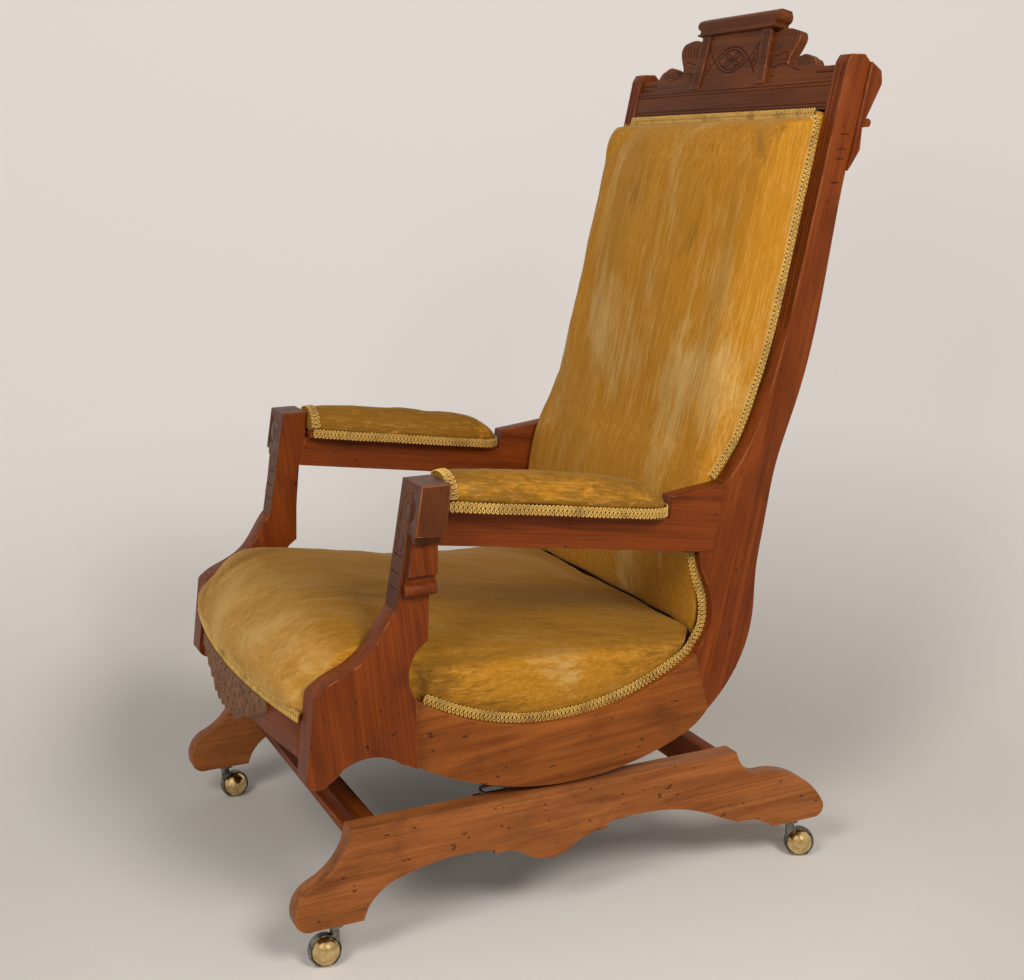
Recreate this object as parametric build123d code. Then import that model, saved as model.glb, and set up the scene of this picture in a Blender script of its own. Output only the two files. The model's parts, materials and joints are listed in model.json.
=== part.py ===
from build123d import *

import math
import os

# Platform rocker: an upholstered chair on two curved rocker rails, held by two pairs of
# coil springs over a low frame on four ball casters.
# Millimetres, +Z up, the chair faces -Y. The origin lies on the floor, midway between the casters.
# The chair is worked out in its own frame, whose origin is the line where the curved rails
# meet the base when it stands level, and is then moved up onto the base.

# ---------------------------------------------------------------- driving dimensions

# the width across
SEAT_HALF = 252.0        # centre line to the inner face of each side frame
FRAME_T = 27.0           # rocker rail, stile and arm board
POST_T = 38.0            # front post
BLOCK_T = 25.0           # how far the carved block stands out from the post
RUNNER_SET_OUT = 5.0     # base runner's inner face, outside the side frame's inner face
RUNNER_T = 27.0

# the base
FOOT_Z = 54.0            # underside of the runner's feet
ARCH_RISE = 58.0         # height of the arches above the feet
RUNNER_TOP = 177.0
RUNNER_FLAT_FRONT = -317.0
RUNNER_FLAT_REAR = 236.0
FRONT_STRETCHER_Y = -318.6
FRONT_STRETCHER_W = 45.0
FRONT_STRETCHER_T = 15.5
FRONT_STRETCHER_STEP = 16.0
FRONT_STRETCHER_STEP_H = 5.5
REAR_STRETCHER_Y = 200.4
REAR_STRETCHER_T = 20.0
REAR_STRETCHER_H = 47.0

# the casters
CASTER_Y = 338.0
CASTER_TRAIL = 13.5      # ball centre behind the swivel axis
WHEEL_R = 19.3
WHEEL_RISE = 8.0         # the axle rises this much towards the ball's face
WHEEL_BACK = 6.5         # of the ball kept behind its centre
HOOD_WALL = 1.3
HOOD_GAP = 0.6           # all round the ball
HOOD_RIM = 7.0           # the hood's rim, ahead of the ball's centre
HOOD_LIFT = 3.0          # the hood ends this far above the floor
AXLE_R = 2.5
STEM_R = 3.8
NECK_R = 6.0
SOCKET_WALL = 1.4
SOCKET_DEPTH = 30.0
SOCKET_FLANGE_R = 11.5
SOCKET_FLANGE_T = 4.2
RUN_FIT = 0.08           # radial clearance of a turning pin

# the rocking
ROCK_Y = -14.0           # where the rails touch the base at rest
ROCK_GAP = 3.3           # lift at rest, which the rails use up as they rock
ROCKER_R = 410.0
POST_JOINT_Y = -216.0    # rocker rail meets the post
ROCKER_REAR_Y = 166.0    # the rocker curve ends and the heel begins

# the chair's side
STILE_KNEE = (318.0, 580.0)   # y and z of a point on the stile's front edge
LEAN = 13.06                  # degrees that the back leans
STILE_W_TOP = 33.0
POST_TOP_Z = 420.0
ARM_FRONT_Z = 337.0      # arm's lower edge at its front
ARM_SLOPE = -0.141
ARM_H = 44.0             # arm board's height under the pad
ARM_PAD_REAR = 141.0

# the crest
CREST_Z = 849.0          # underside of the crest rail's front
STILE_RISE = 68.0        # of the stile above that
EAR_DROP = 79.0          # of the ear's foot under it
CREST_SETBACK = 2.5      # behind the stile's front edge
CREST_RAIL_H = 40.0
CREST_RAIL_T = 22.0
CREST_GROOVES = (3.5, 8.0, 31.0, 35.5)   # heights on the crest rail
STILE_GROOVES = (6.0, 10.0, 19.0)        # in from the stile's outer face
GROOVE_W = 2.0
GROOVE_D = 1.3
CREST_BOARD_SETBACK = 3.0
CREST_BOARD_T = 14.0
CREST_SHOULDER = 58.0    # height of the crest board's plain ends over the back
TABLET_HALF = 92.0       # half its width at mid height
TABLET_TAPER = 3.5       # wider than that at its foot, and narrower at its top
TABLET_H = 117.0         # its top over the back
PILASTER_W = 22.0
PILASTER_PROUD = 3.0
CAP_HALF = 102.0
CAP_H = 27.0
CAP_FRONT = 7.0
CAP_REAR = 20.0

# the seat and the back
RAIL_TOP = 135.0         # front seat rail, in the chair's frame
RAIL_H = 53.0
RAIL_T = 24.0
RAIL_FRONT_Y = -371.6    # front face on the centre line
RAIL_END_Y = -349.6      # front face at the posts
APRON_HALF = 147.0
APRON_T = 12.0
DUST_FRONT = (-352.0, 81.7)   # y and z of the dust cover's front edge, under the front rail
DUST_SLOPE = -0.0317
DUST_T = 0.8
BATTEN_W = 20.0
BATTEN_T = 9.0
WEB_T = 1.6
WEB_W = 55.0
SPRING_ROWS = (-238.0, -118.0, 2.0)
SPRING_COLUMNS = (-125.0, 0.0, 125.0)
SEAT_SPRING_R = 34.0
SEAT_SPRING_WIRE = 3.6
SEAT_SPRING_TURNS = 3
REAR_RAIL_Y = 172.0
REAR_RAIL_T = 25.0
REAR_RAIL_Z = 62.0
REAR_RAIL_H = 46.0
LUMBAR_Y = 228.0
LUMBAR_T = 24.0
LUMBAR_Z = 220.0
LUMBAR_H = 50.0
COVER_T = 2.4
COVER_INSET = 4.0
COVER_GAP = 0.3          # soft parts stay this clear of the wood
CLOTH_EDGE = 2.0         # webbing and dust cover end this far inside the side frames
SEAT_CROWN = 245.0       # the seat's fullest height, near its front
SEAT_CREASE = (199.0, 176.0)      # y and z of the line where seat and back meet
SEAT_PADDING = 62.0      # over the seat springs
BACK_CROWNS = (64.0, 62.0, 57.0, 47.0, 10.0)   # ahead of the stiles, from the middle to the side
EDGE_ROLL = (13.7, 51.7, 141.7)   # where the cushions' crowns change, in from their sides
PAD_BOARD_W = 60.0
PAD_BOARD_T = 11.0
PAD_CENTRE = 14.0        # pad's centre line outside the side frame's inner face

# the platform springs and their irons
PLATFORM_SPRING_INSET = 37.0  # of the coils' axes from the side frame
PLATFORM_SPRING_ROWS = (-92.6, -27.6)
PLATFORM_SPRING_R = 21.5
PLATFORM_SPRING_WIRE = 5.0
PLATFORM_SPRING_TURNS = 5
IRON_T = 3.5
IRON_FRONT = -119.6
IRON_REAR = 2.4
IRON_REACH = 56.0
IRON_FLANGE = 30.0
LOWER_IRON_DROP = 27.0   # under the runner's top
UPPER_IRON_Z = 55.7      # in the chair's frame
UPPER_FLANGE = 13.0
SCREW_R = 2.2
SCREW_HEAD_R = 4.4
SCREW_HEAD_H = 2.0
SCREW_L = 18.0

# the joints
DOWEL_R = 4.5
DOWEL_L = 40.0
DOWEL_FIT = 0.15         # radial, and at each end

# ---------------------------------------------------------------- worked-out places

FRAME_OUT = SEAT_HALF + FRAME_T
POST_OUT = SEAT_HALF + POST_T
RUNNER_IN = SEAT_HALF + RUNNER_SET_OUT
RUNNER_OUT = RUNNER_IN + RUNNER_T
CASTER_X = RUNNER_IN + RUNNER_T / 2
PLATFORM_SPRING_X = SEAT_HALF - PLATFORM_SPRING_INSET
STILE_TOP_Z = CREST_Z + STILE_RISE
SOFT_HALF = SEAT_HALF - COVER_GAP
CHAIR_Z = RUNNER_TOP + ROCK_GAP
LEAN_RUN = math.tan(math.radians(LEAN))
SOCKET_R = STEM_R + RUN_FIT + SOCKET_WALL
DOWEL_X = SEAT_HALF + FRAME_T / 2

os.makedirs("parts", exist_ok=True)
nodes = {}


def outline(start, *steps):
    """A closed face in the side plane, from points (y, z). A step is an end point for a straight
    edge, a pair (middle, end) for an arc, or a list of points for a smooth curve."""
    edges = []
    here = start
    for step in steps:
        if isinstance(step, list):
            edges.append(Spline(*[(0, y, z) for y, z in [here, *step]]))
            here = step[-1]
        elif isinstance(step[0], tuple):
            edges.append(ThreePointArc((0, *here), (0, *step[0]), (0, *step[1])))
            here = step[1]
        else:
            edges.append(Line((0, *here), (0, *step)))
            here = step
    if math.dist(here, start) > 1e-6:
        edges.append(Line((0, *here), (0, *start)))
    return Face(Wire(edges))


def board(face, x_from, x_to):
    """A side-plane face given its thickness, from one x to another."""
    return Pos(x_from, 0, 0) * extrude(face, amount=x_to - x_from, dir=(1, 0, 0))


def block(x, y, z):
    """A box from its low and high limits along each axis."""
    size = [limits[1] - limits[0] for limits in (x, y, z)]
    low = Align.MIN
    return Pos(x[0], y[0], z[0]) * Box(*size, align=(low, low, low))


def rod(start, direction, radius, length):
    """A round rod from a point, along a direction."""
    plane = Plane(origin=start, z_dir=direction)
    return plane * Cylinder(radius, length, align=(Align.CENTER, Align.CENTER, Align.MIN))


def mirrored(shape):
    """The same piece on the other side of the chair."""
    return mirror(shape, about=Plane.YZ)


def pair(name, right_piece):
    """Keeps a right-hand piece and its mirror image as two nodes."""
    nodes[name + "_right"] = right_piece
    nodes[name + "_left"] = mirrored(right_piece)


def dowel(centre, direction, length=DOWEL_L):
    """A dowel about its middle, and the hole that takes it."""
    ahead = Vector(*direction).normalized()
    start = Vector(*centre) - ahead * (length / 2)
    pin = rod(start, ahead, DOWEL_R, length)
    hole = rod(start - ahead * DOWEL_FIT, ahead, DOWEL_R + DOWEL_FIT, length + 2 * DOWEL_FIT)
    return pin, hole


def both_sides(pairs):
    """Pins and holes on the right, repeated on the left, as two lists."""
    pins = [pin for pin, hole in pairs]
    holes = [hole for pin, hole in pairs]
    return pins + [mirrored(p) for p in pins], holes + [mirrored(h) for h in holes]


def cut(piece, tools):
    """A piece less every tool."""
    for tool in tools:
        piece = piece - tool
    return piece


def up_to_base(shape):
    """Moves a piece from the chair's frame to the row's."""
    return Pos(0, ROCK_Y, CHAIR_Z) * shape


# ---------------------------------------------------------------- coil springs

def coil(x, y, z_low, z_high, end_r, waist, wire, turns, close):
    """An unbroken coil of wire standing between two heights, swept along two arcs for each
    quarter turn. The end turns lie closer than the middle ones, by the share close."""
    climb = z_high - z_low - wire

    def point(turn):
        share = turn / turns
        radius = end_r - waist * math.sin(math.pi * share)
        rise = share - close * math.sin(2 * math.pi * share) / (2 * math.pi)
        angle = 2 * math.pi * turn
        return Vector(x + radius * math.cos(angle), y + radius * math.sin(angle),
                      z_low + wire / 2 + climb * rise)

    def heading(turn):
        return (point(turn + 0.001) - point(turn - 0.001)).normalized()

    edges = []
    for quarter in range(4 * turns):
        start, end = point(quarter / 4), point((quarter + 1) / 4)
        leave, arrive = heading(quarter / 4), heading((quarter + 1) / 4)
        across = end - start
        both = leave + arrive
        a, b, c = both.dot(both) - 4, -2 * across.dot(both), across.dot(across)
        reach = (-b - math.sqrt(b * b - 4 * a * c)) / (2 * a)
        first_knot, second_knot = start + leave * reach, end - arrive * reach
        middle = (first_knot + second_knot) * 0.5
        edges.append(TangentArc(start, middle, tangent=leave))
        edges.append(TangentArc(middle, end, tangent=second_knot - first_knot))
    section = Plane(origin=point(0), z_dir=heading(0)) * Circle(wire / 2)

    samples = [point(i / 48) for i in range(48 * turns + 1)]
    near = min((samples[i] - samples[j]).length
               for i in range(len(samples)) for j in range(i + 30, len(samples)))
    print(f"coil at {x:.0f}, {y:.0f}: least gap to itself {near - wire:.2f} mm")
    return sweep(section, path=Wire(edges))


# ---------------------------------------------------------------- the base

def runner_face():
    """The runner's outline: flat top, feet at both ends, two arches and a shaped drop between."""
    arch = FOOT_Z + ARCH_RISE
    toe = FOOT_Z + 11
    return outline(
        (RUNNER_FLAT_FRONT, RUNNER_TOP),
        (RUNNER_FLAT_REAR, RUNNER_TOP),
        ((249, RUNNER_TOP - 24), (278, RUNNER_TOP - 41)),
        ((346, RUNNER_TOP - 59), (384, FOOT_Z + 22)),
        ((384, FOOT_Z + 8), (371, FOOT_Z)),
        (300, FOOT_Z),
        ((278, FOOT_Z + 13), (243, FOOT_Z + 18)),
        [(216, arch - 28), (184, arch - 13), (148, arch - 2), (104, arch + 4), (37, arch + 2)],
        (37, arch - 5),
        ((14, arch - 8), (-5, arch - 14)),
        ((-46, arch - 30), (-87, arch - 14)),
        ((-105, arch - 8), (-126, arch - 7)),
        (-126, arch - 2),
        ((-197, arch), (-265, arch - 15)),
        ((-290, arch - 33), (-304, FOOT_Z)),
        (-366, FOOT_Z),
        ((-384, FOOT_Z + 3), (-390, toe)),
        ((-390, toe + 20), (-366, toe + 47)),
        ((-332, toe + 74), (RUNNER_FLAT_FRONT, RUNNER_TOP)),
    )


def make_base():
    """Two runners, two stretchers and the irons that hold the springs' feet."""
    front_y, rear_y = FRONT_STRETCHER_Y, REAR_STRETCHER_Y
    step_z = RUNNER_TOP - FRONT_STRETCHER_STEP_H
    under = RUNNER_TOP - FRONT_STRETCHER_T - 0.5
    front = outline(
        (front_y, under), (front_y, step_z), (front_y + FRONT_STRETCHER_STEP, step_z),
        (front_y + FRONT_STRETCHER_STEP, RUNNER_TOP - 0.5),
        (front_y + FRONT_STRETCHER_W - 7, RUNNER_TOP - 0.5),
        (front_y + FRONT_STRETCHER_W - 7, step_z),
        (front_y + FRONT_STRETCHER_W, step_z), (front_y + FRONT_STRETCHER_W, under),
    )
    rear = block((-RUNNER_IN, RUNNER_IN), (rear_y, rear_y + REAR_STRETCHER_T),
                 (RUNNER_TOP - REAR_STRETCHER_H, RUNNER_TOP))

    across = (1, 0, 0)
    front_dowel_y = front_y + FRONT_STRETCHER_STEP + 11
    rear_dowel_y = rear_y + REAR_STRETCHER_T / 2
    pairs = [dowel((RUNNER_IN, front_dowel_y, (under + RUNNER_TOP) / 2), across)]
    for drop in (0.27, 0.73):
        pairs.append(dowel((RUNNER_IN, rear_dowel_y, RUNNER_TOP - drop * REAR_STRETCHER_H), across))
    pins, holes = both_sides(pairs)

    iron_z = RUNNER_TOP - LOWER_IRON_DROP
    plate = block((RUNNER_IN - IRON_REACH - IRON_T, RUNNER_IN), (IRON_FRONT, IRON_REAR),
                  (iron_z - IRON_T, iron_z))
    flange = block((RUNNER_IN - IRON_T, RUNNER_IN), (IRON_FRONT, IRON_REAR),
                   (iron_z - IRON_FLANGE, iron_z))
    screws, screw_holes = iron_screws(RUNNER_IN, iron_z - 0.6 * IRON_FLANGE, 0)

    sockets = [caster_place(c) * Pos(0, 0, FOOT_Z) for c in CASTERS]
    socket_holes = [place * Pos(0, 0, -1) * rod((0, 0, 0), (0, 0, 1), SOCKET_R + DOWEL_FIT,
                                                SOCKET_DEPTH + 2) for place in sockets]
    right = cut(board(runner_face(), RUNNER_IN, RUNNER_OUT),
                holes + screw_holes + [h for h in socket_holes if h.center().X > 0])
    left = cut(mirrored(board(runner_face(), RUNNER_IN, RUNNER_OUT)),
               holes + [mirrored(h) for h in screw_holes]
               + [h for h in socket_holes if h.center().X < 0])
    nodes["runner_right"] = right
    nodes["runner_left"] = left
    nodes["front_stretcher"] = cut(board(front, -RUNNER_IN, RUNNER_IN), holes)
    nodes["rear_stretcher"] = cut(rear, holes)
    nodes["base_dowels"] = Compound(pins)
    pair("spring_bracket_lower", cut(plate + flange, screw_holes))
    nodes["lower_bracket_screws"] = Compound(screws + [mirrored(s) for s in screws])

    coils = [coil(PLATFORM_SPRING_X, y, iron_z + COVER_GAP, CHAIR_Z + UPPER_IRON_Z - COVER_GAP,
                  PLATFORM_SPRING_R, 0, PLATFORM_SPRING_WIRE, PLATFORM_SPRING_TURNS, 0.5)
             for y in PLATFORM_SPRING_ROWS]
    pair("platform_spring", Compound(coils))


def iron_screws(face_x, z, y_shift):
    """Two screws through a spring iron's flange into the wood outside it, and their holes."""
    screws, holes = [], []
    for share in (0.2, 0.8):
        y = y_shift + IRON_FRONT + share * (IRON_REAR - IRON_FRONT)
        head_x = face_x - IRON_T - SCREW_HEAD_H
        head = rod((head_x, y, z), (1, 0, 0), SCREW_HEAD_R, SCREW_HEAD_H)
        slot = block((head_x, head_x + 0.9), (y - SCREW_HEAD_R, y + SCREW_HEAD_R), (z - 0.6, z + 0.6))
        shank = rod((head_x + SCREW_HEAD_H, y, z), (1, 0, 0), SCREW_R, SCREW_L)
        screws.append(head - slot + shank)
        holes.append(rod((head_x + SCREW_HEAD_H, y, z), (1, 0, 0), SCREW_R + DOWEL_FIT,
                         SCREW_L + DOWEL_FIT))
    return screws, holes


# ---------------------------------------------------------------- the casters

# name, side and end of the base, the way the ball faces in degrees from +X, and the side of
# the stem on which the ball trails
CASTERS = (
    ("front_right", 1, -1, -3, -1),
    ("rear_right", 1, 1, -26, 1),
    ("front_left", -1, -1, 4, 1),
    ("rear_left", -1, 1, -10, -1),
)


def caster_place(caster):
    """The place of a caster's swivel axis on the floor, turned as it stands."""
    name, side, end, facing, hand = caster
    return Pos(side * CASTER_X, end * CASTER_Y, 0) * Rot(0, 0, facing)


def make_caster(caster):
    """Socket in the foot, hood with its stem and axle, and the ball that shows from the hood."""
    name, side, end, facing, hand = caster
    place = caster_place(caster)
    rise = math.radians(WHEEL_RISE)
    axle_way = Vector(math.cos(rise), 0, math.sin(rise))
    centre = Vector(0, hand * CASTER_TRAIL, WHEEL_R)
    across = Plane(origin=centre, z_dir=axle_way)
    hood_in = WHEEL_R + HOOD_GAP
    hood_out = hood_in + HOOD_WALL

    neck_top = FOOT_Z - SOCKET_FLANGE_T - 2
    outside = across * Sphere(hood_out)
    hollow = across * Sphere(hood_in)
    underneath = block((-50, 50), (-50, 50), (-50, HOOD_LIFT))
    cover = outside - across * Pos(0, 0, HOOD_RIM) * split_side() - underneath
    neck = rod((0, 0, WHEEL_R), (0, 0, 1), NECK_R, neck_top - WHEEL_R)
    shell = cover + (neck - outside) - hollow
    axle_in = 0.55 * WHEEL_R
    axle = rod(centre - axle_way * (hood_in + HOOD_WALL / 2), axle_way, AXLE_R,
               hood_in + HOOD_WALL / 2 + axle_in)
    stem = rod((0, 0, neck_top), (0, 0, 1), STEM_R, FOOT_Z + SOCKET_DEPTH - 3 - neck_top)

    wheel = across * Sphere(WHEEL_R) & across * Pos(0, 0, -WHEEL_BACK) * split_side()
    bore = rod(centre - axle_way * WHEEL_R, axle_way, AXLE_R + RUN_FIT, WHEEL_R + axle_in + 1)

    sleeve = rod((0, 0, FOOT_Z - SOCKET_FLANGE_T), (0, 0, 1), SOCKET_R,
                 SOCKET_FLANGE_T + SOCKET_DEPTH)
    flange = rod((0, 0, FOOT_Z - SOCKET_FLANGE_T), (0, 0, 1), SOCKET_FLANGE_R, SOCKET_FLANGE_T)
    stem_bore = rod((0, 0, FOOT_Z - SOCKET_FLANGE_T - 1), (0, 0, 1), STEM_R + RUN_FIT,
                    SOCKET_DEPTH + SOCKET_FLANGE_T)
    nodes["caster_hood_" + name] = place * (shell + axle + stem)
    nodes["caster_wheel_" + name] = place * (wheel - bore)
    nodes["caster_socket_" + name] = place * (sleeve + flange - stem_bore)


def split_side():
    """All that lies above a plane, as large as a caster needs."""
    return Pos(0, 0, 2 * WHEEL_R) * Cylinder(2 * WHEEL_R, 4 * WHEEL_R)


# ---------------------------------------------------------------- the side frames

ARM_FRONT_Y = -176.0
ARM_HEEL = (207.0, ARM_FRONT_Z + ARM_SLOPE * (207.0 - ARM_FRONT_Y))
ARM_JOINT_TOP = (227.0, ARM_HEEL[1] + 91.0)


def arm_under(y):
    """Height of the arm's lower edge."""
    return ARM_FRONT_Z + ARM_SLOPE * (y - ARM_FRONT_Y)


def arm_seat(y):
    """Height of the notch that carries the arm pad."""
    return arm_under(y) + ARM_H


def stile_front(z):
    """Where the stile's front edge runs, on its straight stretch."""
    return STILE_KNEE[0] + LEAN_RUN * (z - STILE_KNEE[1])


def rocker_z(y):
    """Height of the rocker curve under the chair."""
    return ROCKER_R - math.sqrt(ROCKER_R ** 2 - y ** 2)


RAIL_HEEL = (206.0, 66.0)       # rocker rail and stile meet here at the back
RAIL_THROAT = (184.0, 146.5)    # and here at the opening
STILE_TOP_Y = stile_front(STILE_TOP_Z) + STILE_W_TOP


def side_opening():
    """The opening under the arm, which the post, the rail and the stile share."""
    return outline(
        (-191, arm_under(-191)),
        (188, arm_under(188)),
        [(198, 245), (206, 223), (208, 200), (205, 178), (195, 161), (183, 146), (162, 133)],
        ((-19, 86), (-198, 136)),
        ((-225, 180), (-200, 225)),
        (-198, 276),
    )


def make_side():
    """One side frame: front post, rocker rail, stile and arm, and the ear behind the stile."""
    opening = board(side_opening(), SEAT_HALF - 5, POST_OUT + 5)
    post_toe = rocker_z(POST_JOINT_Y)
    post = outline(
        (-213, POST_TOP_Z), (-240, 266), (-244, 263),
        [(-259, 240), (-277, 215), (-302, 198), (-330, 185), (-345, 172)],
        (-358, 70),
        ((-349, 59), (-337, 59)),
        ((-325, 66), (-311, 78)),
        ((-274, 87), (-238, 72)),
        (POST_JOINT_Y, post_toe), (POST_JOINT_Y, 162), (-190, 230), (-191, arm_under(-191)),
        (-180, arm_seat(-180)), (-177, POST_TOP_Z),
    )
    post = board(post, SEAT_HALF, POST_OUT) - opening + post_block()

    rail = outline(
        (POST_JOINT_Y, post_toe),
        ((0, 0), (ROCKER_REAR_Y, rocker_z(ROCKER_REAR_Y))),
        ((188, 48), RAIL_HEEL),
        RAIL_THROAT, (160, 170), (0, 170), (-205, 162), (POST_JOINT_Y, 162),
    )
    rail = board(rail, SEAT_HALF, FRAME_OUT) - opening

    ear_foot, ear_head = CREST_Z - EAR_DROP, STILE_TOP_Z - 9
    stile = outline(
        RAIL_HEEL,
        [(246, 113), (263, 148), (273, 190), (276, 246), (288, 318), (301, 385), (333, 476),
         (356, 556), (378, 671), (stile_front(ear_foot) + 35, ear_foot)],
        (STILE_TOP_Y, ear_head), (STILE_TOP_Y - 8, STILE_TOP_Z),
        (stile_front(STILE_TOP_Z) + 4, STILE_TOP_Z), (stile_front(ear_head), ear_head),
        STILE_KNEE,
        [(295, 503), (271, 441), ARM_JOINT_TOP],
        ARM_HEEL, (184, arm_under(184)), (170, 200), RAIL_THROAT,
    )
    stile = board(stile, SEAT_HALF, FRAME_OUT) - opening
    for inset in STILE_GROOVES:
        stile = stile - stile_groove(inset)

    arm = outline(
        (-191, arm_under(-191)), (-180, arm_seat(-180)),
        (ARM_PAD_REAR, arm_seat(ARM_PAD_REAR)), (ARM_PAD_REAR + 5, arm_seat(ARM_PAD_REAR) + 28),
        ((188, ARM_JOINT_TOP[1] - 5), ARM_JOINT_TOP),
        ARM_HEEL,
    )
    arm = board(arm, SEAT_HALF, FRAME_OUT)

    ear = outline(
        (stile_front(ear_foot) + 35, ear_foot),
        (STILE_TOP_Y, ear_head),
        (STILE_TOP_Y + 15, ear_head - 11), (behind(56.5, 39), behind(58.6, 30)),
        behind(48.3, -3), behind(44, -15), (behind(54.3, -16), behind(49, -23)), behind(42, -24),
        behind(46.5, -53), behind(38, -73),
    )
    ear = board(ear, SEAT_HALF + 2, FRAME_OUT + 4)

    joints = side_dowels()
    holes = [hole for pin, hole in joints]
    pair("post", cut(post, holes + upholstery_rail_holes()))
    pair("rocker_rail", cut(rail, holes + upholstery_rail_holes() + upper_iron_screws()[1]))
    pair("stile", cut(stile, holes + upholstery_rail_holes()))
    pair("arm", cut(arm, holes))
    pair("ear_bracket", ear)


def behind(back, up):
    """A point behind the stile's front edge, at a height from the crest rail's underside."""
    return stile_front(CREST_Z + up) + back, CREST_Z + up


def post_block():
    """The carved block at the top of the post, with the neck and roll under it."""
    front = [(-223, 360), (-213, POST_TOP_Z)]
    head = outline(front[0], front[1], (-177, POST_TOP_Z), (-182, 372), (-186, 357))
    head = board(head, POST_OUT, POST_OUT + BLOCK_T)
    neck = board(outline((-228, 310), (-222, 352), (-190, 352), (-191, 310)), POST_OUT, POST_OUT + 13)
    slope = board(outline((-222, 350), (-221, 362), (-186, 362), (-190, 350)), POST_OUT, POST_OUT + 19)
    cove = board(outline((-230, 300), (-228, 312), (-191, 312), (-191, 300)), POST_OUT, POST_OUT + 6)
    roll_run = Plane(origin=(POST_OUT + 5, -232, 292), z_dir=(0, 1, 0))
    roll = roll_run * Cylinder(8, 41, align=(Align.CENTER, Align.CENTER, Align.MIN))
    roll = roll & block((POST_OUT, POST_OUT + 20), (-235, -190), (280, 304))
    return head + neck + slope + cove + roll


def stile_groove(inset):
    """A shallow groove along the stile's narrow front face, at one distance from its outer face."""
    low, high = STILE_KNEE[1] - 10, STILE_TOP_Z - 11
    line = outline((stile_front(low) - 5, low), (stile_front(high) - 5, high),
                   (stile_front(high) + GROOVE_D, high), (stile_front(low) + GROOVE_D, low))
    middle = FRAME_OUT - inset
    return board(line, middle - GROOVE_W / 2, middle + GROOVE_W / 2)


def side_dowels():
    """Dowels within the right side frame: post to rail, rail to stile, arm to post and stile."""
    down = Vector(0, RAIL_THROAT[0] - RAIL_HEEL[0], RAIL_THROAT[1] - RAIL_HEEL[1]).normalized()
    along_rail = (0, down.Z, -down.Y)
    arm_end = Vector(0, ARM_JOINT_TOP[0] - ARM_HEEL[0], ARM_JOINT_TOP[1] - ARM_HEEL[1]).normalized()
    along_arm = (0, arm_end.Z, -arm_end.Y)
    joints = [dowel((DOWEL_X, POST_JOINT_Y, z), (0, 1, 0)) for z in (88, 122)]
    for share in (0.38, 0.72):
        y = RAIL_HEEL[0] + share * (RAIL_THROAT[0] - RAIL_HEEL[0])
        z = RAIL_HEEL[1] + share * (RAIL_THROAT[1] - RAIL_HEEL[1])
        joints.append(dowel((DOWEL_X, y, z), along_rail, 30))
    joints.append(dowel((DOWEL_X, 215, ARM_HEEL[1] + 36), along_arm, 30))
    joints.append(dowel((DOWEL_X, -185.5, ARM_FRONT_Z + 23), (0, 1, ARM_SLOPE), 30))
    return joints


# ---------------------------------------------------------------- rails between the sides

def rail_end_dowels():
    """Dowels from the cross rails into the right side frame."""
    lean = math.radians(LEAN)
    places = [(RAIL_END_Y + RAIL_T / 2, RAIL_TOP - 0.3 * RAIL_H),
              (RAIL_END_Y + RAIL_T / 2, RAIL_TOP - 0.7 * RAIL_H),
              (REAR_RAIL_Y + REAR_RAIL_T / 2, REAR_RAIL_Z + 0.3 * REAR_RAIL_H),
              (REAR_RAIL_Y + REAR_RAIL_T / 2, REAR_RAIL_Z + 0.7 * REAR_RAIL_H),
              (LUMBAR_Y + LUMBAR_T / 2, LUMBAR_Z + 0.25 * LUMBAR_H),
              (LUMBAR_Y + LUMBAR_T / 2, LUMBAR_Z + 0.75 * LUMBAR_H)]
    for share in (0.3, 0.7):
        up, back = share * CREST_RAIL_H, CREST_RAIL_T / 2
        places.append((CREST_Y + up * math.sin(lean) + back * math.cos(lean),
                       CREST_Z + up * math.cos(lean) - back * math.sin(lean)))
    return [dowel((SEAT_HALF, y, z), (1, 0, 0)) for y, z in places]


def upholstery_rail_holes():
    """The right-hand holes of the cross rails' dowels."""
    return [hole for pin, hole in rail_end_dowels()]


def upper_iron_screws():
    """Screws of the upper spring irons, in the chair's frame."""
    return iron_screws(SEAT_HALF, UPPER_IRON_Z + IRON_T + SCREW_HEAD_R + 0.2, -ROCK_Y)


CREST_Y = stile_front(CREST_Z) + CREST_SETBACK


def bowed(front_gap, thickness, z_low, z_high):
    """A board bent to the bow of the front seat rail, lying between two heights."""
    half = SEAT_HALF
    front_mid, front_end = RAIL_FRONT_Y + front_gap, RAIL_END_Y + front_gap
    edges = [
        ThreePointArc((-half, front_end, 0), (0, front_mid, 0), (half, front_end, 0)),
        Line((half, front_end, 0), (half, front_end + thickness, 0)),
        ThreePointArc((half, front_end + thickness, 0), (0, front_mid + thickness, 0),
                      (-half, front_end + thickness, 0)),
        Line((-half, front_end + thickness, 0), (-half, front_end, 0)),
    ]
    plan = Face(Wire(edges))
    return Pos(0, 0, z_low) * extrude(plan, amount=z_high - z_low, dir=(0, 0, 1))


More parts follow.
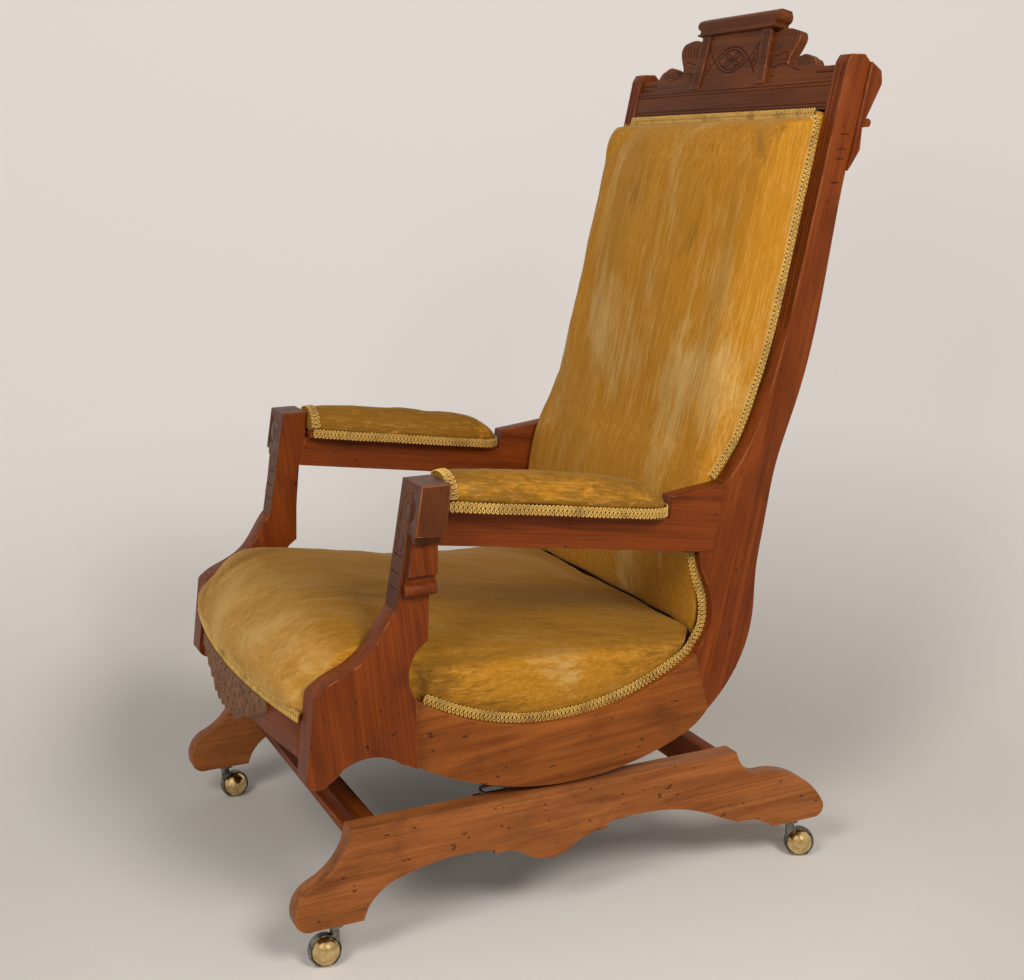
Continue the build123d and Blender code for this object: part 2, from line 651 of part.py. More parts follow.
def make_rails():
    """Front seat rail with its carved apron, rear seat rail, lower back rail and battens."""
    pins, holes = both_sides(rail_end_dowels())
    side_pins = [pin for pin, hole in side_dowels()]
    nodes["front_seat_rail"] = cut(bowed(0, RAIL_T, RAIL_TOP - RAIL_H, RAIL_TOP), holes)
    rear = block((-SEAT_HALF, SEAT_HALF), (REAR_RAIL_Y, REAR_RAIL_Y + REAR_RAIL_T),
                 (REAR_RAIL_Z, REAR_RAIL_Z + REAR_RAIL_H))
    nodes["rear_seat_rail"] = cut(rear, holes)
    lumbar = block((-SEAT_HALF, SEAT_HALF), (LUMBAR_Y, LUMBAR_Y + LUMBAR_T),
                   (LUMBAR_Z, LUMBAR_Z + LUMBAR_H))
    nodes["lower_back_rail"] = cut(lumbar, holes)
    nodes["frame_dowels"] = Compound(pins + side_pins + [mirrored(p) for p in side_pins])
    nodes["carved_apron"] = make_apron()

    front = RAIL_END_Y + RAIL_T
    batten = outline(
        (front, dust_z(front)), (front, web_z(front)),
        (REAR_RAIL_Y, web_z(REAR_RAIL_Y)), (REAR_RAIL_Y, dust_z(REAR_RAIL_Y)),
    )
    pair("seat_batten", board(batten, SEAT_HALF - BATTEN_W, SEAT_HALF))


def dust_z(y):
    """Height of the dust cover's upper face, which the battens lie on."""
    return DUST_FRONT[1] + DUST_SLOPE * (y - DUST_FRONT[0])


def web_z(y):
    """Height of the battens' top, which the webbing lies on."""
    return dust_z(y) + BATTEN_T


def bow_y(x):
    """Where the bowed front rail's face stands at one x."""
    return RAIL_FRONT_Y + (RAIL_END_Y - RAIL_FRONT_Y) * (x / SEAT_HALF) ** 2


def make_apron():
    """The carved apron on the front rail: a straight top and a lower edge of drooping leaves."""
    top, drop = RAIL_TOP - 5, 7.0
    tips = [(APRON_HALF, 112), (112, 98), (78, 84), (40, 71)]
    half = [(APRON_HALF, top)] + tips
    path = [(x, z) for x, z in half] + [(-x, z) for x, z in reversed(half)]
    edges = [Line((path[0][0], 0, path[0][1]), (path[1][0], 0, path[1][1]))]
    for (x1, z1), (x2, z2) in zip(path[1:-2], path[2:-1]):
        middle = ((x1 + x2) / 2, 0, (z1 + z2) / 2 - drop)
        edges.append(ThreePointArc((x1, 0, z1), middle, (x2, 0, z2)))
    edges.append(Line((path[-2][0], 0, path[-2][1]), (path[-1][0], 0, path[-1][1])))
    edges.append(Line((path[-1][0], 0, path[-1][1]), (path[0][0], 0, path[0][1])))
    face = Face(Wire(edges))
    slab = Pos(0, RAIL_FRONT_Y - 40, 0) * extrude(face, amount=90, dir=(0, 1, 0))
    return slab & bowed(-APRON_T, APRON_T, 0, RAIL_TOP)


# ---------------------------------------------------------------- the crest

def crest_plane():
    """The crest's own plane: x across, y up the lean, z towards the front."""
    lean = math.radians(LEAN)
    return Plane(origin=(0, CREST_Y, CREST_Z), x_dir=(1, 0, 0),
                 z_dir=(0, -math.cos(lean), math.sin(lean)))


def crest_slab(points, front, back):
    """A piece cut to an outline (x, up) in the crest's plane. Its front face stands front ahead
    of that plane and its back face lies back behind it. A pair of points is an arc."""
    edges, here = [], points[0]
    for step in points[1:]:
        if isinstance(step[0], tuple):
            edges.append(ThreePointArc(here, step[0], step[1]))
            here = step[1]
        else:
            edges.append(Line(here, step))
            here = step
    if math.dist(here, points[0]) > 1e-6:
        edges.append(Line(here, points[0]))
    face = Face(Wire(edges))
    solid = extrude(face, amount=front + back, dir=(0, 0, 1))
    return crest_plane() * Pos(0, 0, -back) * solid


def make_crest():
    """Crest rail, fretted board, raised tablet and moulded cap, all leaning with the back."""
    rail = crest_slab([(-SEAT_HALF, 0), (SEAT_HALF, 0), (SEAT_HALF, CREST_RAIL_H),
                       (-SEAT_HALF, CREST_RAIL_H)], 0, CREST_RAIL_T)
    for up in CREST_GROOVES:
        groove = crest_slab([(-SEAT_HALF - 1, up - GROOVE_W / 2),
                             (SEAT_HALF + 1, up - GROOVE_W / 2),
                             (SEAT_HALF + 1, up + GROOVE_W / 2),
                             (-SEAT_HALF - 1, up + GROOVE_W / 2)], 1, GROOVE_D)
        rail = rail - groove
    pins, holes = both_sides(rail_end_dowels())
    nodes["crest_rail"] = cut(rail, holes)

    foot, shoulder = CREST_RAIL_H, CREST_SHOULDER
    inner = TABLET_HALF - PILASTER_W / 2
    right = [(inner, foot), (SEAT_HALF, foot), (SEAT_HALF, shoulder), (204, shoulder),
             ((200, shoulder + 9), (190, shoulder + 13)), ((173, shoulder + 19), (157, shoulder + 14)),
             ((151, shoulder + 4), (142, shoulder + 3)), ((137, shoulder + 9), (139, shoulder + 18)),
             ((146, shoulder + 27), (151, shoulder + 36)), ((151, shoulder + 48), (141, shoulder + 53)),
             ((120, shoulder + 57), (101, shoulder + 54)), (inner, shoulder + 52)]
    behind_front = CREST_BOARD_SETBACK + CREST_BOARD_T
    fret = crest_slab(right, -CREST_BOARD_SETBACK, behind_front)
    middle = crest_slab([(-inner, foot), (inner, foot), (inner, TABLET_H), (-inner, TABLET_H)],
                        -CREST_BOARD_SETBACK, behind_front)
    nodes["crest_board"] = fret + mirrored(fret) + middle

    wide, narrow = TABLET_HALF + TABLET_TAPER, TABLET_HALF - TABLET_TAPER
    tablet = crest_slab([(-wide, foot), (wide, foot), (narrow, TABLET_H), (-narrow, TABLET_H)],
                        0, CREST_BOARD_SETBACK)
    pilaster = crest_slab([(wide - PILASTER_W, foot), (wide, foot), (narrow, TABLET_H),
                           (narrow - PILASTER_W, TABLET_H)], PILASTER_PROUD, 0)
    nodes["crest_tablet"] = tablet + pilaster + mirrored(pilaster)

    lip, top = CAP_HALF - 2, TABLET_H + CAP_H
    end = [(lip, TABLET_H), (lip, TABLET_H + 2.5), ((lip - 4, TABLET_H + 4), (lip - 5, TABLET_H + 7)),
           ((CAP_HALF - 1.5, TABLET_H + 9.5), (CAP_HALF, TABLET_H + 15)), (lip, TABLET_H + 20.5),
           (lip - 4, top)]
    cap = crest_slab([(0, TABLET_H), *end, (0, top)], CAP_FRONT, CAP_REAR)
    nodes["crest_cap"] = cap + mirrored(cap)


# ---------------------------------------------------------------- upholstery

def side_section(x, start, *steps):
    """A side-plane face standing at one x, for a loft across the chair."""
    return Pos(x, 0, 0) * outline(start, *steps)


def make_seat():
    """The seat cushion: a crowned loft across the chair, which swells out through the openings
    under the arms, over a pocket for the springs."""
    crease = SEAT_CREASE
    base = RAIL_TOP + COVER_GAP
    crown_y = -245.0
    shapes = []
    # half width, how far the front is drawn in, and how far the crown is drawn down
    for x, pull, drop in ((0, 0, 0), (SOFT_HALF - EDGE_ROLL[2], 3, 3), (SOFT_HALF - EDGE_ROLL[1], 12, 14),
                          (SOFT_HALF - EDGE_ROLL[0], 26, 32), (SOFT_HALF, 40, 50)):
        front, top = RAIL_FRONT_Y + 3 + 0.75 * pull, SEAT_CROWN - drop
        shapes.append((x, (
            (front, base), (POST_JOINT_Y, base),
            ((-19, 90), (178, 146)), crease,
            ((-30, (top + crease[1]) / 2 - 3), (crown_y, top)),
            ((-320, top - 7), (-358 + pull, top - 34)),
            ((-380 + pull, 183 - 0.4 * drop), (front, base)),
        )))
    stations = [(-x, s) for x, s in reversed(shapes[1:])] + shapes
    body = loft([side_section(x, *steps) for x, steps in stations])

    swell = []
    for x, inset in ((SOFT_HALF - 1, 3.0), (SEAT_HALF + 8, 4.5), (SEAT_HALF + 14, 10.0),
                     (SEAT_HALF + 17, 20.0)):
        swell.append(side_section(
            x, (-200 + inset, 142 + 0.6 * inset), ((-19, 86 + inset), (170 - inset, 141 + 0.5 * inset)),
            (188 - inset, 168 - 0.4 * inset), ((0, 182 - 0.9 * inset), (-196 + inset, 189 - 0.9 * inset)),
        ))
    bulge = loft(swell)

    slope = (crease[1] - SEAT_CROWN) / (crease[0] - crown_y)

    def lid(y):
        return SEAT_CROWN - SEAT_PADDING + slope * (y - crown_y)

    pocket = outline((-330, 60), (-330, lid(-330)), (150, lid(150)), (150, 60))
    pocket = board(pocket, -SEAT_HALF + BATTEN_W + 12, SEAT_HALF - BATTEN_W - 12)
    nodes["seat_cushion"] = body + bulge + mirrored(bulge) - pocket

    dust_end = dust_z(REAR_RAIL_Y)
    dust = outline(
        DUST_FRONT, (REAR_RAIL_Y, dust_end), (REAR_RAIL_Y, dust_end - DUST_T),
        (DUST_FRONT[0], DUST_FRONT[1] - DUST_T))
    nodes["dust_cover"] = board(dust, -SEAT_HALF + CLOTH_EDGE, SEAT_HALF - CLOTH_EDGE)

    across = [board(web_strip(y), -SEAT_HALF + CLOTH_EDGE, SEAT_HALF - CLOTH_EDGE)
              for y in (*SPRING_ROWS, SPRING_ROWS[-1] + 110)]
    along = [long_web_strip(x) for x in SPRING_COLUMNS]
    webbing = across[0]
    for strip in across[1:] + along:
        webbing = webbing + strip
    nodes["seat_webbing"] = webbing

    coils = []
    for y in SPRING_ROWS:
        foot = web_z(y) + WEB_T + COVER_GAP
        head = lid(y + SEAT_SPRING_R) - COVER_GAP
        for x in SPRING_COLUMNS:
            coils.append(coil(x, y, foot, head, SEAT_SPRING_R, 8, SEAT_SPRING_WIRE,
                              SEAT_SPRING_TURNS, 0.3))
    nodes["seat_springs"] = Compound(coils)


def web_strip(y):
    """The side view of one cross strip of webbing."""
    low, high = y - WEB_W / 2, y + WEB_W / 2
    return outline((low, web_z(low)), (low, web_z(low) + WEB_T), (high, web_z(high) + WEB_T),
                   (high, web_z(high)))


def long_web_strip(x):
    """A strip of webbing from the front rail to the rear one, over the cross strips."""
    front = bow_y(abs(x) + WEB_W / 2) + RAIL_T + COVER_GAP
    rise = WEB_T * 2
    side = outline((front, web_z(front) + WEB_T), (front, web_z(front) + rise),
                   (REAR_RAIL_Y, web_z(REAR_RAIL_Y) + rise),
                   (REAR_RAIL_Y, web_z(REAR_RAIL_Y) + WEB_T))
    return board(side, x - WEB_W / 2, x + WEB_W / 2)


def make_back():
    """The back cushion, the webbing behind it and the cloth over the outside of the back."""
    head = CREST_Z - COVER_GAP
    middle_z, roll_z = STILE_KNEE[1] + 30, CREST_Z - 41
    low_z, high_z = STILE_KNEE[1] - 21, (STILE_KNEE[1] + CREST_Z) / 2 - 42.5
    shapes = []
    places = (0, *(SOFT_HALF - inset for inset in reversed(EDGE_ROLL)), SOFT_HALF)
    for x, proud in zip(places, BACK_CROWNS):
        share = proud / BACK_CROWNS[0]
        lap = CREST_Y - 10 * share
        low = 241 - 28 * share
        mid, high = stile_front(middle_z) - proud, stile_front(roll_z) - proud
        shapes.append((x, (
            (202.0, 178.0), ((190 - 8 * share, 300), (low, 413)),
            ((mid, middle_z), (high, roll_z)),
            (((high + lap) / 2 - 5 * share, head - 10.7), (lap, head)),
            (CREST_Y + 12, head - 12 * LEAN_RUN - COVER_GAP),
            (stile_front(high_z) + 14, high_z), (stile_front(low_z) + 13, low_z), (285, 441), (243, 372),
            (LUMBAR_Y - COVER_GAP, 268), (LUMBAR_Y - COVER_GAP, 200),
        )))
    stations = [(-x, s) for x, s in reversed(shapes[1:])] + shapes
    nodes["back_cushion"] = loft([side_section(x, *steps) for x, steps in stations])

    outer = [(206, 66), (246, 113), (263, 148), (273, 190), (276, 246), (288, 318), (301, 385),
             (333, 476), (356, 556), (378, 671), (stile_front(CREST_Z - EAR_DROP) + 35, CREST_Z - EAR_DROP),
             (stile_front(CREST_Z) + 34.6, CREST_Z)]
    out = [(y - COVER_INSET, z) for y, z in outer]
    back = [(y - COVER_INSET - COVER_T - 0.6, z) for y, z in outer]
    cover = outline(out[0], out[1:], back[-1], list(reversed(back[:-1])))
    nodes["outside_back_cover"] = board(cover, -SOFT_HALF, SOFT_HALF)

    foot, top = LUMBAR_Z + 8, CREST_Z + 6
    low_y = LUMBAR_Y + LUMBAR_T
    high_y = CREST_Y + CREST_RAIL_T / math.cos(math.radians(LEAN)) + LEAN_RUN * (top - CREST_Z)
    high_y = high_y + COVER_GAP
    strip = outline(
        (low_y, foot), (low_y, LUMBAR_Z + LUMBAR_H), (high_y, top), (high_y + WEB_T, top),
        (low_y + WEB_T, LUMBAR_Z + LUMBAR_H), (low_y + WEB_T, foot))
    strips = [board(strip, x - WEB_W / 2, x + WEB_W / 2) for x in SPRING_COLUMNS]
    nodes["back_webbing"] = Compound(strips)


def make_arm_pads():
    """The padded rests on the arms: a thin board in the arm's notch and a crowned pad on it."""
    centre = SEAT_HALF + PAD_CENTRE
    front = -176.0
    rear = ARM_PAD_REAR - 2
    plan = Face(Wire([
        Line((centre - PAD_BOARD_W / 2, front, 0), (centre - PAD_BOARD_W / 2, rear - 30, 0)),
        ThreePointArc((centre - PAD_BOARD_W / 2, rear - 30, 0), (centre, rear, 0),
                      (centre + PAD_BOARD_W / 2, rear - 30, 0)),
        Line((centre + PAD_BOARD_W / 2, rear - 30, 0), (centre + PAD_BOARD_W / 2, front, 0)),
        Line((centre + PAD_BOARD_W / 2, front, 0), (centre - PAD_BOARD_W / 2, front, 0)),
    ]))
    column = Pos(0, 0, 300) * extrude(plan, amount=200, dir=(0, 0, 1))
    level = outline((front, arm_seat(front)), (front, arm_seat(front) + PAD_BOARD_T),
                    (rear, arm_seat(rear) + PAD_BOARD_T), (rear, arm_seat(rear)))
    pair("arm_pad_board", column & board(level, centre - PAD_BOARD_W, centre + PAD_BOARD_W))

    sections = []
    # distance along the arm, half width and height of the pad
    for y, half, high in ((front, 28.5, 33), (-150, 29.5, 38), (-80, 30, 41), (10, 30, 42),
                          (70, 29.5, 35), (112, 25, 25), (132, 15, 16), (rear - 1, 5, 9)):
        z = arm_seat(y) + PAD_BOARD_T + COVER_GAP
        waist = half + 0.08 * high
        sections.append(Face(Wire([
            Line((centre - half, y, z), (centre + half, y, z)),
            ThreePointArc((centre + half, y, z), (centre + waist, y, z + 0.35 * high),
                          (centre + 0.72 * half, y, z + 0.86 * high)),
            ThreePointArc((centre + 0.72 * half, y, z + 0.86 * high), (centre, y, z + high),
                          (centre - 0.72 * half, y, z + 0.86 * high)),
            ThreePointArc((centre - 0.72 * half, y, z + 0.86 * high),
                          (centre - waist, y, z + 0.35 * high), (centre - half, y, z)),
        ])))
    pair("arm_pad", loft(sections))


def make_upper_irons():
    """The irons on the side frames that hold the tops of the platform springs."""
    screws, holes = upper_iron_screws()
    y = (IRON_FRONT - ROCK_Y, IRON_REAR - ROCK_Y)
    plate = block((SEAT_HALF - IRON_REACH, SEAT_HALF), y, (UPPER_IRON_Z, UPPER_IRON_Z + IRON_T))
    flange = block((SEAT_HALF - IRON_T, SEAT_HALF), y, (UPPER_IRON_Z, UPPER_IRON_Z + UPPER_FLANGE))
    pair("spring_bracket_upper", cut(plate + flange, holes))
    nodes["upper_bracket_screws"] = Compound(screws + [mirrored(s) for s in screws])


make_base()
for each in CASTERS:
    make_caster(each)
on_base = set(nodes)

make_side()
make_rails()
make_crest()
make_seat()
make_back()
make_arm_pads()
make_upper_irons()

for name, shape in nodes.items():
    placed = shape if name in on_base else up_to_base(shape)
    export_step(placed, f"parts/{name}.step")
print(len(nodes), "nodes")
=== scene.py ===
import json
import math

import bmesh
import bpy
import numpy as np
from mathutils import Matrix, Vector, noise
from mathutils.bvhtree import BVHTree
from mathutils.kdtree import KDTree

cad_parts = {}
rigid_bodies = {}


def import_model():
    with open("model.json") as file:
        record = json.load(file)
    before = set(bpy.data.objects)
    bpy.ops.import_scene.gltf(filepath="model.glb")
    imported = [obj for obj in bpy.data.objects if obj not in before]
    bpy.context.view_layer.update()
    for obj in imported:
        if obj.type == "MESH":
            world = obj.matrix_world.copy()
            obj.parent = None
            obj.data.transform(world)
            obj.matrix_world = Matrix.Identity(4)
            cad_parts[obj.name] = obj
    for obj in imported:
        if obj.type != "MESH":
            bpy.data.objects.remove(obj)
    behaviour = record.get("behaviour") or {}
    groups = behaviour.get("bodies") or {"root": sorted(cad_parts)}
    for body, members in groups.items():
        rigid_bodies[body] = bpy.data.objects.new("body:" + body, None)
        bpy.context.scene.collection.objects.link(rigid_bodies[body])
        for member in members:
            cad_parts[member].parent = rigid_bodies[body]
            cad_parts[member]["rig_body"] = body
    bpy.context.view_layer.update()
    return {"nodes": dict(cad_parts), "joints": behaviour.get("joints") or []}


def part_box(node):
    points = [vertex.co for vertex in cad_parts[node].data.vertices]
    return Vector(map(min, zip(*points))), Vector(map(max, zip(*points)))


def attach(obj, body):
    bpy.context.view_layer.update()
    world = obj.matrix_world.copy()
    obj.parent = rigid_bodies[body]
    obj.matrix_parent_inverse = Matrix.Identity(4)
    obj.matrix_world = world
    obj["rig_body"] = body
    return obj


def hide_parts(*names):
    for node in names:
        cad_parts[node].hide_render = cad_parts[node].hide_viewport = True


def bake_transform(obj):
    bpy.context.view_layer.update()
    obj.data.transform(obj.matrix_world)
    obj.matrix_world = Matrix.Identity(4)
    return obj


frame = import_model()
solids = frame["nodes"]

# ---------------------------------------------------------------- the studio
# A pale paper floor that curves up into a paper wall all round the chair, so that each side
# has the same plain background, with two soft lamps, one on each side of the camera.


class Value:
    """What one output of a shader or geometry node gives. Arithmetic on it adds Math nodes."""

    def __init__(self, graph, socket):
        self.graph = graph
        self.socket = socket

    def maths(self, operation, other):
        return self.graph.node("ShaderNodeMath", {"operation": operation}, {0: self, 1: other})

    def __add__(self, other):
        return self.maths("ADD", other)

    def __mul__(self, other):
        return self.maths("MULTIPLY", other)


class Graph:
    """A node tree. node() adds any node: its settings first, then what its sockets take."""

    def __init__(self, tree):
        self.tree = tree

    def node(self, kind, settings=None, sockets=None, output=0):
        made = self.tree.nodes.new(kind)
        for name, value in (settings or {}).items():
            setattr(made, name, value)
        for key, value in (sockets or {}).items():
            if isinstance(value, Value):
                self.tree.links.new(value.socket, made.inputs[key])
            else:
                made.inputs[key].default_value = value
        return Value(self, made.outputs[output]) if len(made.outputs) else made

    def part(self, vector, axis):
        """One of a vector's three numbers."""
        return self.node("ShaderNodeSeparateXYZ", {}, {0: vector}, output=axis)


class Finish(Graph):
    """A procedural material, whose patterns lie in the object's own coordinates and run along a
    direction."""

    def __init__(self, name, along=(1, 0, 0)):
        self.turn = Vector((1, 0, 0)).rotation_difference(Vector(along)).to_euler()
        self.material = bpy.data.materials.new(name)
        self.material.use_nodes = True
        super().__init__(self.material.node_tree)
        self.tree.nodes.clear()
        self.place = self.node("ShaderNodeTexCoord", output="Object")

    def within(self, value, low, high):
        """How far a value lies from low to high, from 0 to 1."""
        return self.node("ShaderNodeMapRange", {"clamp": True},
                         {"Value": value, "From Min": low, "From Max": high})

    def mix(self, first, second, share):
        """Two colours mixed. A bare colour is three numbers."""
        first, second = [c if isinstance(c, Value) else (*c, 1) for c in (first, second)]
        return self.node("ShaderNodeMix", {"data_type": "RGBA"}, {0: share, 6: first, 7: second}, output=2)

    def layered(self, colour, *layers):
        """A colour under layers of others. Each gives its tone, the value that guides it, where
        its share is none and where it is full, and how much full is, if that isn't all."""
        for tone, value, none, full, *most in layers:
            share = self.within(value, none, full)
            colour = self.mix(colour, tone, share * most[0] if most else share)
        return colour

    def cloud(self, size, detail=3.0, distortion=0.0, shift=0.0, roughness=0.55, turn=None):
        """Noise whose features have a size in metres, or one along each turned axis."""
        mapped = self.node("ShaderNodeMapping", {"vector_type": "TEXTURE"}, {
            "Vector": self.place, "Location": (shift, shift, shift),
            "Rotation": self.turn if turn is None else turn,
            "Scale": size if isinstance(size, tuple) else (size, size, size)})
        return self.node("ShaderNodeTexNoise", {}, {
            "Vector": mapped, "Scale": 1.0, "Detail": detail, "Roughness": roughness,
            "Distortion": distortion})

    def surface(self, bump=None, depth=0.0005, strength=0.3, **sockets):
        """The shader itself; socket names have their spaces as underscores."""
        values = {name.replace("_", " "): value for name, value in sockets.items()}
        if bump is not None:
            values["Normal"] = self.node("ShaderNodeBump", {}, {
                "Height": bump, "Strength": strength, "Distance": depth})
        colour = values["Base Color"]
        if not isinstance(colour, Value):
            values["Base Color"] = (*colour, 1)
        shader = self.node("ShaderNodeBsdfPrincipled", {}, values)
        self.node("ShaderNodeOutputMaterial", {}, {"Surface": shader})
        return self.material


FLOOR_RADIUS = 0.62
WALL_RADIUS = 1.12
WALL_TOP = 2.3
PAPER_FLOOR = (0.71, 0.672, 0.625)
PAPER_WALL = (0.72, 0.675, 0.63)
PAPER_SHINE = (0.76, 0.70, 0.65)
PAPER_GLOW = 0.68


def paper():
    """Matt paper, seen only from its inner side, a little darker on the floor."""
    finish = Finish("studio_paper")
    height = finish.part(finish.place, "Z")
    colour = finish.mix(PAPER_FLOOR, PAPER_WALL, finish.within(height, 0.0, 0.9))
    matt = finish.node("ShaderNodeBsdfDiffuse", {}, {"Color": colour})
    glow = finish.node("ShaderNodeEmission", {}, {"Color": (*PAPER_SHINE, 1)})
    lit = finish.node("ShaderNodeMixShader", {}, {
        0: finish.within(height, 0.0, 0.45) * PAPER_GLOW, 1: matt, 2: glow})
    clear = finish.node("ShaderNodeBsdfTransparent")
    behind = finish.node("ShaderNodeNewGeometry", output="Backfacing")
    seen = finish.node("ShaderNodeMixShader", {}, {0: behind, 1: lit, 2: clear})
    finish.node("ShaderNodeOutputMaterial", {}, {"Surface": seen})
    return finish.material


def linked(name, data):
    """A new object in the scene."""
    made = bpy.data.objects.new(name, data)
    bpy.context.scene.collection.objects.link(made)
    return made


def mesh_object(name, points, faces, material=None, edges=()):
    """A new mesh object at the origin, with its place in its mesh."""
    mesh = bpy.data.meshes.new(name)
    mesh.from_pydata([tuple(p) for p in points], edges, faces)
    mesh.update()
    if material:
        mesh.materials.append(material)
    return linked(name, mesh)


def turned_sheet(name, profile, steps, material):
    """A surface turned about the Z axis from a profile of radius and height, facing the axis."""
    points = []
    for radius, height in profile:
        for i in range(steps):
            angle = 2 * math.pi * i / steps
            points.append((radius * math.cos(angle), radius * math.sin(angle), height))
    faces = []
    for ring in range(len(profile) - 1):
        for i in range(steps):
            after = (i + 1) % steps
            low, high = ring * steps, (ring + 1) * steps
            faces.append((low + i, high + i, high + after, low + after))
    sheet = mesh_object(name, points, faces, material)
    sheet.data.polygons.foreach_set("use_smooth", [True] * len(faces))
    return sheet


PAPER = paper()
sweep = WALL_RADIUS - FLOOR_RADIUS
curve = [(FLOOR_RADIUS + sweep * math.sin(a), sweep - sweep * math.cos(a))
         for a in np.linspace(0, math.pi / 2, 25)]
floor = turned_sheet("paper_floor", [(0.002, 0), (FLOOR_RADIUS, 0)], 96, PAPER)
wall = turned_sheet("paper_wall", [*curve, (WALL_RADIUS, WALL_TOP)], 96, PAPER)
wall.visible_diffuse = False
for sheet in (floor, wall):
    sheet.visible_shadow = False

LAMP_SIZE = 0.95
LAMP_DISTANCE = 2.55
LAMP_HEIGHT = 34.0                   # degrees
LAMPS = (("lamp_left", 37.0, 26.0), ("lamp_right", 96.0, 36.0))   # degrees round, watts
AIM = Vector((0, 0, 0.5))


def direction(turn, rise):
    """The way out of the chair's front, turned about Z and raised."""
    return Vector((math.sin(turn) * math.cos(rise), -math.cos(turn) * math.cos(rise), math.sin(rise)))


for name, round_by, power in LAMPS:
    light = bpy.data.lights.new(name, "AREA")
    light.shape = "DISK"
    light.size = LAMP_SIZE
    light.energy = power
    light.color = (1.0, 0.97, 0.93)
    lamp = linked(name, light)
    away = direction(math.radians(round_by), math.radians(LAMP_HEIGHT))
    lamp.location = AIM + away * LAMP_DISTANCE
    lamp.rotation_euler = (-away).to_track_quat("-Z", "Y").to_euler()
    lamp.visible_camera = False

SKY_LOW, SKY_HIGH = 0.62, 0.22       # the room is dimmer overhead
world = bpy.data.worlds.new("studio_light")
bpy.context.scene.world = world
world.use_nodes = True
sky = Graph(world.node_tree)
sky.tree.nodes.clear()
upward = sky.part(sky.node("ShaderNodeTexCoord", output="Generated"), "Z")
dimming = sky.node("ShaderNodeMapRange", {"clamp": True}, {
    "Value": upward, "From Min": 0.1, "From Max": 0.8, "To Min": SKY_LOW, "To Max": SKY_HIGH})
sky.node("ShaderNodeOutputWorld", {}, {"Surface": sky.node("ShaderNodeBackground", {}, {
    "Color": (1.0, 0.985, 0.965, 1), "Strength": dimming})})
bpy.context.scene.view_settings.view_transform = "Standard"

CAMERA_PLACE = Vector((1.87863, -0.83483, 0.97235))
CAMERA_ROUND, CAMERA_RISE, CAMERA_ROLL = (math.radians(a) for a in (65.216, 12.663, -0.443))
lens = bpy.data.cameras.new("camera")
lens.sensor_width = 36.0
lens.lens = 52.17
camera = linked("camera", lens)
back = direction(CAMERA_ROUND, CAMERA_RISE)
level = (-back).cross(Vector((0, 0, 1))).normalized()
upright = level.cross(-back)
right = level * math.cos(CAMERA_ROLL) + upright * math.sin(CAMERA_ROLL)
above = upright * math.cos(CAMERA_ROLL) - level * math.sin(CAMERA_ROLL)
turned = Matrix((right, above, back)).transposed().to_4x4()
camera.matrix_world = Matrix.Translation(CAMERA_PLACE) @ turned
bpy.context.scene.camera = camera

# ---------------------------------------------------------------- base runners
# Two boards of varnished walnut, sawn to shape on the band saw, with their edges eased by
# hand and then worn pale. Old nail holes show on their outer faces.

ORANGE_WALNUT = ((0.305, 0.088, 0.0150), (0.150, 0.037, 0.0060))    # light and dark streaks
RED_WALNUT = ((0.215, 0.045, 0.0065), (0.100, 0.0185, 0.0030))
BROWN_WALNUT = ((0.165, 0.043, 0.0105), (0.068, 0.018, 0.0055))
PALE_WALNUT = ((0.365, 0.120, 0.0310), (0.185, 0.054, 0.0120))
WORN_WOOD = (0.36, 0.135, 0.040)
DIRT = (0.030, 0.013, 0.007)
WORN, CUT = 1, 2       # material slots of eased edges and of carved lines


def walnut(name, tones, along, shift=0.0, wear=0.0, dirt=0.0):
    """Varnished walnut with its grain along a direction, worn pale or dirty by a share."""
    light, dark = tones
    finish = Finish(name, along)
    figure = finish.cloud((0.34, 0.026, 0.026), 5, 1.1, shift)
    lines = finish.cloud((0.22, 0.0024, 0.0024), 3, 0.3, shift)
    pores = finish.cloud((0.011, 0.00055, 0.00055), 2)
    blotch = finish.cloud((0.10, 0.05, 0.05), 4, 0.5, shift + 0.4)
    nicks = finish.cloud((0.012, 0.007, 0.007), 1, 0.0, shift)
    colour = finish.layered(
        dark, (light, figure * 0.62 + lines * 0.38, 0.36, 0.64),
        ((0.045, 0.014, 0.006), pores, 0.40, 0.30, 0.45),
        ((0.055, 0.015, 0.006), blotch, 0.50, 0.24, 0.50),
        (light, blotch, 0.56, 0.78, 0.35), (DIRT, nicks, 0.275, 0.245, 0.75))
    if wear:
        rubbed = finish.cloud((0.05, 0.012, 0.012), 4, 0.4, shift)
        colour = finish.layered(colour, (WORN_WOOD, rubbed, 0.42, 0.66, wear))
    if dirt:
        colour = finish.mix(colour, DIRT, dirt)
    return finish.surface(
        Base_Color=colour, Roughness=finish.within(blotch, 0.2, 0.8) * 0.16 + 0.30,
        bump=lines * 0.4 + pores, depth=0.00025, strength=0.35,
        Specular_IOR_Level=0.07, Coat_Weight=0.05, Coat_Roughness=0.12)


def wood_set(name, tones, along, shift=0.0):
    """A wood's flat faces, its worn edges and its dirty cuts."""
    return (walnut(name, tones, along, shift), walnut(name + "_worn", tones, along, shift, wear=0.55),
            walnut(name + "_cut", tones, along, shift, dirt=0.62))


def joined_mesh(node, name):
    """A solid's mesh with its loose triangles joined and its flat faces made whole."""
    mesh = bpy.data.meshes.new(name)
    work = bmesh.new()
    work.from_mesh(solids[node].data)
    bmesh.ops.remove_doubles(work, verts=work.verts, dist=2e-5)
    bmesh.ops.dissolve_limit(work, angle_limit=math.radians(0.5), verts=work.verts, edges=work.edges)
    work.to_mesh(mesh)
    work.free()
    mesh.materials.clear()
    return mesh


